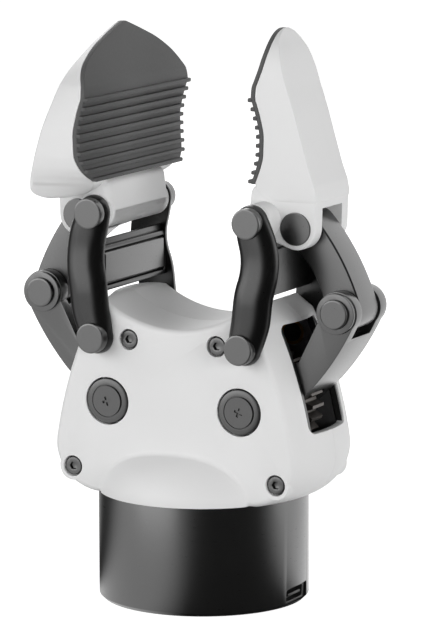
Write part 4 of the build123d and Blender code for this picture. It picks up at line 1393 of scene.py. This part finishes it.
@dataclass
class Finger:
    """A finger: a tapering white head, its neck and lobes, and the ribbed rubber pad on its face.

    half is how wide it grows to each side. A slim finger has a round arch of its own, from the
    height arch_start up; with 0 it has the profile's wide pointed one. rib_root is how deep a
    rib is let into the pad, and covered how far a hidden wall stays inside the one over it.
    """

    side: Side
    half: float
    corner: float
    arch_start: float = 0.0
    tip_half: float = 1.2
    steps: int = 90
    crisp: float = 28.0
    pad_bottom: float = 135.2
    pad_thickness: float = 1.6
    pad_sink: float = 0.05
    pad_edge: float = 0.3
    pad_round_past: float = 50.0
    pad_crisp: float = 35.0
    face_corner: float = 0.25
    corner_limit: float = 0.4
    corner_steps: int = 5
    foot_round: float = 2.4
    foot_steps: int = 8
    neck_pin: Flat = (27.7, 124.5)
    neck_radius: float = 5.6
    neck_half: float = 20.0
    neck_edge: float = 2.6
    neck_front: Point = (26.0, 132.1, 3.0)
    neck_back: Point = (31.0, 132.1, 3.0)
    boss_edge: float = 0.8
    bush_radius: float = 3.4
    drive_pin: Flat = (38.4, 122.0)
    pin_radius: float = 2.4
    pin_head: float = 5.2
    pin_seat: float = 12.2
    pin_out: float = 12.6
    pin_edge: float = 0.25
    lobe_radius: float = 6.7
    lobe_top: Point = (42.2, 131.2, 3.2)
    lobe_edge: float = 0.6
    wall_half: float = 12.2
    covered: float = 0.4
    cavity_half: float = 7.2
    cavity_front: float = 29.6
    cavity_steps: tuple[Flat, ...] = ((42.0, 131.5), (43.9, 129.5), (52.0, 128.3))
    cavity_foot: float = 108.6
    rib_count: int = 10
    rib_start: float = 0.8
    rib_pitch: float = 2.82
    rib_height: float = 1.2
    rib_root: float = 0.8
    rib_width: float = 1.3
    rib_edge: float = 0.35

    def section(self, z: float) -> tuple[float, float, float, float]:
        """Read the head's shape at a height.

        Args:
            z: the height.

        Returns:
            The x of its face and the half width there, then the same of its back.
        """
        face, back, wide, narrow = (along(FINGER_PROFILE, z, column) for column in (1, 2, 3, 4))
        if self.arch_start:
            share = max(0.0, (z - self.arch_start) / (FINGER_PROFILE[-1][0] - self.arch_start))
            wide = narrow = max(self.tip_half, self.half * math.sqrt(max(0.0, 1 - share * share)))
        return (face, min(self.half, wide), back, min(self.half, narrow))

    def ring(self, z: float) -> list[Point]:
        """Draw the head's outline at a height: a trapezoid with soft back corners.

        Args:
            z: the height.

        Returns:
            The outline's points.
        """
        face, wide, back, narrow = self.section(z)
        face += self.pad_thickness
        lift = min(self.foot_round, z - FINGER_PROFILE[0][0])
        tuck = self.foot_round - math.sqrt(self.foot_round**2 - (self.foot_round - lift) ** 2)
        back, narrow, wide = back - tuck, narrow - tuck, wide - tuck
        corners = [(face, -wide), (back, -narrow), (back, narrow), (face, wide)]
        radii = [self.face_corner, self.corner, self.corner, self.face_corner]
        points = []
        for number, (x, y) in enumerate(corners):
            tip = Vector((x, y))
            before, after = corners[number - 1], corners[(number + 1) % 4]
            to_before = Vector((before[0] - x, before[1] - y))
            to_after = Vector((after[0] - x, after[1] - y))
            limit = self.corner_limit
            reach = min(radii[number], to_before.length * limit, to_after.length * limit)
            first = tip + to_before.normalized() * reach
            last = tip + to_after.normalized() * reach
            for step in range(self.corner_steps + 1):
                share = step / self.corner_steps
                spot = first * (1 - share) ** 2 + tip * 2 * share * (1 - share) + last * share**2
                points.append((spot.x, spot.y, z))
        return points

    def cutters(self) -> list[Mesh]:
        """Make the room for the outer link's eye, stepped under the back wall, and the bush's bore.

        Returns:
            The cutters, the bore last.
        """
        deep = self.cavity_half
        rooms = [
            block("cavity", (self.cavity_front, -deep, self.cavity_foot), (x, deep, z))
            for x, z in self.cavity_steps
        ]
        reach = self.neck_half + CLEAR
        bore = [(-reach, self.bush_radius), (reach, self.bush_radius)]
        return rooms + [turned("bore", self.neck_pin, bore)]

    def head(self) -> Mesh:
        """Make the head, lofted through its stations, with the cavity cut out.

        Returns:
            The closed mesh.
        """
        low, high = FINGER_PROFILE[0][0], FINGER_PROFILE[-1][0]
        foot_steps, rest = self.foot_steps, low + self.foot_round
        foot = [low + self.foot_round * (step / foot_steps) ** 2 for step in range(foot_steps)]
        levels = foot + [rest + (high - rest) * step / self.steps for step in range(self.steps + 1)]
        rings = [self.ring(z) for z in levels]
        return cut(ringed("finger_head", rings), self.cutters()[:-1])

    def neck(self) -> Mesh:
        """Make the neck with its boss round the upper pin, and the two lobes round the drive pin.

        A wide finger's neck reaches past its lobes, and a slim one's stays just inside them.

        Returns:
            The neck, the boss and the lobes in one mesh.
        """
        is_wide = self.half > self.neck_half
        reach = self.neck_half if is_wide else self.wall_half - self.covered
        hidden = self.covered if is_wide else 0.0
        pin = (*self.neck_pin, self.neck_radius)
        lobe = (*self.drive_pin, self.lobe_radius)
        profile = [
            (self.neck_half - self.boss_edge, self.neck_radius),
            (self.neck_half, self.neck_radius - self.boss_edge),
        ]
        boss = turned("boss", self.neck_pin, [(-y, r) for y, r in profile[::-1]] + profile)
        front = (self.neck_front[0], self.neck_front[1], self.neck_front[2] - hidden)
        inner_pin = (*self.neck_pin, self.neck_radius - hidden)
        walls = hull_block(
            "lobes", (inner_pin, lobe, self.lobe_top, front), self.wall_half, self.lobe_edge
        )
        edge = self.neck_edge if is_wide else self.lobe_edge
        neck = hull_block("neck", (pin, self.neck_front, self.neck_back), reach, edge)
        return joined("finger_neck", [cut(part, self.cutters()) for part in (walls, neck, boss)])

    def pad_skin(self) -> Mesh:
        """Make the pad's flat layer over the finger's face.

        Returns:
            The closed mesh.
        """
        high = FINGER_PROFILE[-1][0]
        rings = []
        for step in range(self.steps + 1):
            z = self.pad_bottom + (high - self.pad_bottom) * step / self.steps
            face, wide, _, _ = self.section(z)
            back = face + self.pad_thickness - self.pad_sink
            rings.append([(face, -wide, z), (back, -wide, z), (back, wide, z), (face, wide, z)])
        return rounded(ringed("pad_skin", rings), self.pad_edge, 2, self.pad_round_past)

    def rib_sizes(self) -> dict[str, float]:
        """Name the ribs' node inputs and give their sizes."""
        return {"Rib Height": self.rib_height + self.rib_root, "Rib Width": self.rib_width}

    def rib_tree(self) -> NodeTree:
        """Make the node tree that sets a rib across the pad at each point, as long as it says.

        Returns:
            The tree.
        """
        tree, given = new_tree("pad_ribs", self.rib_sizes())
        half_wide = add_node(
            tree, "GeometryNodeInputNamedAttribute", {"data_type": "FLOAT", "Name": "half_wide"}
        )
        # A bar of length 2 is scaled by the half width that its point carries
        bar = add_node(tree, "GeometryNodeMeshCube", {"Size": (1.0, 2.0, 1.0)})
        scale = add_node(
            tree, "ShaderNodeCombineXYZ",
            X=given["Rib Height"], Y=half_wide.outputs["Attribute"], Z=given["Rib Width"],
        )
        set_out = add_node(
            tree, "GeometryNodeInstanceOnPoints",
            Points=given["Geometry"], Instance=bar.outputs["Mesh"], Scale=scale.outputs[0],
        )
        end_tree(tree, set_out.outputs[0], given["Material"])
        return tree

    def ribs(self) -> Mesh:
        """Make the gripping ribs across the hollow of the pad.

        Returns:
            The ribs in one mesh.
        """
        places, halves = [], []
        for rib in range(self.rib_count):
            z = self.pad_bottom + self.rib_start + self.rib_pitch * rib
            face, wide, _, _ = self.section(z)
            places.append(((face - self.rib_height / 2 + self.rib_root / 2) * MM, 0.0, z * MM))
            halves.append(wide * MM)
        mesh = bpy.data.meshes.new("rib_points")
        mesh.from_pydata(places, [], [])
        mesh.attributes.new("half_wide", "FLOAT", "POINT").data.foreach_set("value", halves)
        ribs = grown("ribs", mesh, self.rib_tree(), self.rib_sizes(), PAD_RUBBER)
        return rounded(ribs, self.rib_edge, segments=2)

    def build(self) -> None:
        """Show the finger's shell and pad, and dress its bush and pin."""
        shell = joined("finger_mesh", [self.head(), self.neck()])
        self.side.show(shell, "finger_shell", "finger", self.crisp)
        pad = joined("pad_mesh", [self.pad_skin(), self.ribs()])
        self.side.show(pad, "finger_pad", "finger", self.pad_crisp)
        dress(self.side.label("finger_bush"))
        HeadedPin(
            self.side, "drive_pin", "finger", self.drive_pin, self.pin_radius, self.pin_head,
            self.pin_seat, self.pin_out, self.pin_edge,
        ).build()


RIGHT_FINGER = Finger(Side.RIGHT, half=12.4, corner=0.5, arch_start=168.0)
LEFT_FINGER = Finger(Side.LEFT, half=35.2, corner=1.4, foot_round=4.2)


def toward(azimuth: float, elevation: float = 0.0) -> Vector:
    """Point from the object to a place around it.

    Args:
        azimuth: how far to the right of the front, in degrees.
        elevation: how far up, in degrees.

    Returns:
        The unit vector there.
    """
    turn, tilt = math.radians(azimuth), math.radians(elevation)
    return Vector((math.sin(turn) * math.cos(tilt), -math.cos(turn) * math.cos(tilt), math.sin(tilt)))


@dataclass(frozen=True)
class Lamp:
    """A soft lamp: its direction in degrees, its width and height, and its power in watts.

    in_gloss says whether gloss sees it: a diffuser is only felt as soft light.
    """

    name: str
    azimuth: float
    elevation: float
    width: float
    height: float
    power: float
    in_gloss: bool = True


@dataclass(frozen=True)
class Wall:
    """A lit wall that gloss sees: its azimuth, how far to each side it is full and gone."""

    azimuth: float
    full: float
    gone: float
    level: float


@dataclass
class Studio:
    """The pale floor, the soft lights and the camera at the photograph's angle.

    The camera's numbers were fitted to known points of the object: azimuth to the right of the
    front, elevation, distance from the aim point on the axis, and the focal length in pixels.
    clip holds the camera's near and far limit in metres. glow is how much the floor shines for
    the camera, world_level what the world lights the object with, and room_level what gloss
    sees of it between the walls.
    """

    azimuth: float = 27.0
    elevation: float = 9.41
    distance: float = 1266.95
    aim_height: float = 89.08
    focal: float = 3983.66
    frame: tuple[int, int] = (425, 639)
    shift_pixels: float = -9.32
    roll: float = -0.22
    sensor: float = 36.0
    clip: Flat = (0.05, 20.0)
    floor_size: float = 6000.0
    floor_drop: float = 0.5
    floor_tone: str = "EAEAEA"
    glow: float = 0.94
    world_level: float = 0.18
    room_level: float = 0.03
    walls: tuple[Wall, ...] = (Wall(-38.0, 22.0, 56.0, 1.3), Wall(170.0, 41.0, 84.0, 1.6))
    lamp_distance: float = 1300.0
    lamps: tuple[Lamp, ...] = (
        Lamp("key_softbox", -26.0, 10.0, 1000.0, 1000.0, 6.5),
        Lamp("left_softbox", -60.0, 20.0, 800.0, 800.0, 4.2),
        Lamp("right_diffuser", 62.0, 4.0, 900.0, 500.0, 10.0, in_gloss=False),
        Lamp("rim_strip", 120.0, 8.0, 500.0, 900.0, 1.5),
        Lamp("rear_softbox", -135.0, 25.0, 800.0, 800.0, 4.0),
    )

    def camera(self) -> None:
        """Add the camera and make it the scene's."""
        turn, roll = math.radians(self.azimuth), math.radians(self.roll)
        back = toward(self.azimuth, self.elevation)
        right = Vector((math.cos(turn), math.sin(turn), 0))
        up = back.cross(right)
        rolled = right * math.cos(roll) + up * math.sin(roll)
        upright = up * math.cos(roll) - right * math.sin(roll)
        data = bpy.data.cameras.new("camera")
        data.sensor_width = self.sensor
        data.lens = self.focal * data.sensor_width / max(self.frame)
        data.shift_x = -self.shift_pixels / max(self.frame)
        data.clip_start, data.clip_end = self.clip
        obj = bpy.data.objects.new("camera", data)
        place = (Vector((0, 0, self.aim_height)) + back * self.distance) * MM
        facing = Matrix((rolled, upright, back)).transposed().to_4x4()
        obj.matrix_world = Matrix.Translation(place) @ facing
        bpy.context.scene.collection.objects.link(obj)
        bpy.context.scene.camera = obj

    def reflected(self, tree: NodeTree, place: NodeSocket) -> NodeSocket:
        """Add what gloss sees of the studio: soft walls of light in a dim room.

        Args:
            tree: the tree that gets the nodes.
            place: the socket with the place or direction.

        Returns:
            The socket with the brightness there.
        """
        kind = "ShaderNodeVectorMath"
        flat = add_node(tree, kind, {"operation": "MULTIPLY", 1: (1.0, 1.0, 0.0)}, s0=place)
        way = add_node(tree, kind, {"operation": "NORMALIZE"}, s0=flat.outputs["Vector"])
        total = self.room_level
        for wall in self.walls:
            settings = {"operation": "DOT_PRODUCT", 1: toward(wall.azimuth)}
            reach = add_node(tree, kind, settings, s0=way.outputs["Vector"])
            settings = {
                "interpolation_type": "SMOOTHSTEP",
                "From Min": math.cos(math.radians(wall.gone)),
                "From Max": math.cos(math.radians(wall.full)),
            }
            share = add_node(tree, "ShaderNodeMapRange", settings, Value=reach.outputs["Value"])
            total = maths(tree, "MULTIPLY_ADD", share.outputs["Result"], wall.level, total)
        return total

    def floor(self) -> None:
        """Add the pale floor, which also shines for the camera, so that it reads as plain white."""
        reach = self.floor_size / 2
        mesh = bpy.data.meshes.new("floor")
        corners = [(-reach, -reach), (reach, -reach), (reach, reach), (-reach, reach)]
        low = -self.floor_drop * MM
        mesh.from_pydata([(x * MM, y * MM, low) for x, y in corners], [], [(0, 1, 2, 3)])
        obj = new_object("floor", mesh)
        made = bpy.data.materials.new("studio_floor")
        made.use_nodes = True
        tree = made.node_tree
        tree.nodes.clear()
        ray = add_node(tree, "ShaderNodeLightPath")
        # Gloss sees the same studio in the floor as in the world, so that reflections run on
        # below the horizon
        place = add_node(tree, "ShaderNodeTexCoord")
        tones = {"data_type": "RGBA", 6: srgb(self.floor_tone), 7: BLACK}
        tone = add_node(tree, "ShaderNodeMix", tones, s0=ray.outputs["Is Glossy Ray"])
        paint = add_node(tree, "ShaderNodeBsdfDiffuse", Color=tone.outputs[2])
        studio = self.reflected(tree, place.outputs["Object"])
        mirrored = maths(tree, "MULTIPLY", studio, ray.outputs["Is Glossy Ray"])
        white = maths(tree, "MULTIPLY_ADD", ray.outputs["Is Camera Ray"], self.glow, mirrored)
        glow = add_node(tree, "ShaderNodeEmission", {"Color": WHITE}, Strength=white)
        both = add_node(tree, "ShaderNodeAddShader", s0=paint.outputs[0], s1=glow.outputs[0])
        add_node(tree, "ShaderNodeOutputMaterial", Surface=both.outputs[0])
        mesh.materials.append(made)

    def lights(self) -> None:
        """Add the soft lamps, each turned to the object."""
        aim = Vector((0, 0, self.aim_height)) * MM
        for lamp in self.lamps:
            data = bpy.data.lights.new(lamp.name, "AREA")
            data.shape = "RECTANGLE"
            data.size = lamp.width * MM
            data.size_y = lamp.height * MM
            data.energy = lamp.power
            obj = bpy.data.objects.new(lamp.name, data)
            obj.visible_glossy = lamp.in_gloss
            way = toward(lamp.azimuth, lamp.elevation)
            spot = aim + way * self.lamp_distance * MM
            facing = (-way).to_track_quat("-Z", "Y").to_matrix().to_4x4()
            obj.matrix_world = Matrix.Translation(spot) @ facing
            bpy.context.scene.collection.objects.link(obj)

    def world(self) -> None:
        """Add the world, which the camera sees as plain white, and set plain colours."""
        world = bpy.data.worlds.new("studio")
        world.use_nodes = True
        tree = world.node_tree
        tree.nodes.clear()
        ray = add_node(tree, "ShaderNodeLightPath")
        way = add_node(tree, "ShaderNodeTexCoord")
        gloss = add_node(
            tree, "ShaderNodeMix", {"data_type": "FLOAT", 2: self.world_level},
            s0=ray.outputs["Is Glossy Ray"], s3=self.reflected(tree, way.outputs["Generated"]),
        )
        seen = add_node(
            tree, "ShaderNodeMix", {"data_type": "FLOAT", 3: 1.0},
            s0=ray.outputs["Is Camera Ray"], s2=gloss.outputs[0],
        )
        sky = add_node(tree, "ShaderNodeBackground", {"Color": WHITE}, Strength=seen.outputs[0])
        add_node(tree, "ShaderNodeOutputWorld", Surface=sky.outputs[0])
        bpy.context.scene.world = world
        bpy.context.scene.view_settings.view_transform = "Standard"

    def build(self) -> None:
        """Set up the whole studio."""
        self.floor()
        self.lights()
        self.world()
        self.camera()


def main() -> None:
    """Build the gripper's sub-assemblies in order, then the studio."""
    logging.basicConfig(level=logging.INFO, format="%(name)s: %(message)s")
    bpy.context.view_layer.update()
    parts = [Base(), Shells(), Drive(), ShellScrews(), PivotCaps()]
    for side in Side:
        parts += [DriverLink(side), OuterLink(side), InnerLink(side)]
    parts += [RIGHT_FINGER, LEFT_FINGER, Studio()]
    for part in parts:
        part.build()
        LOG.info("built %s", type(part).__name__)


if __name__ == "__main__":
    main()
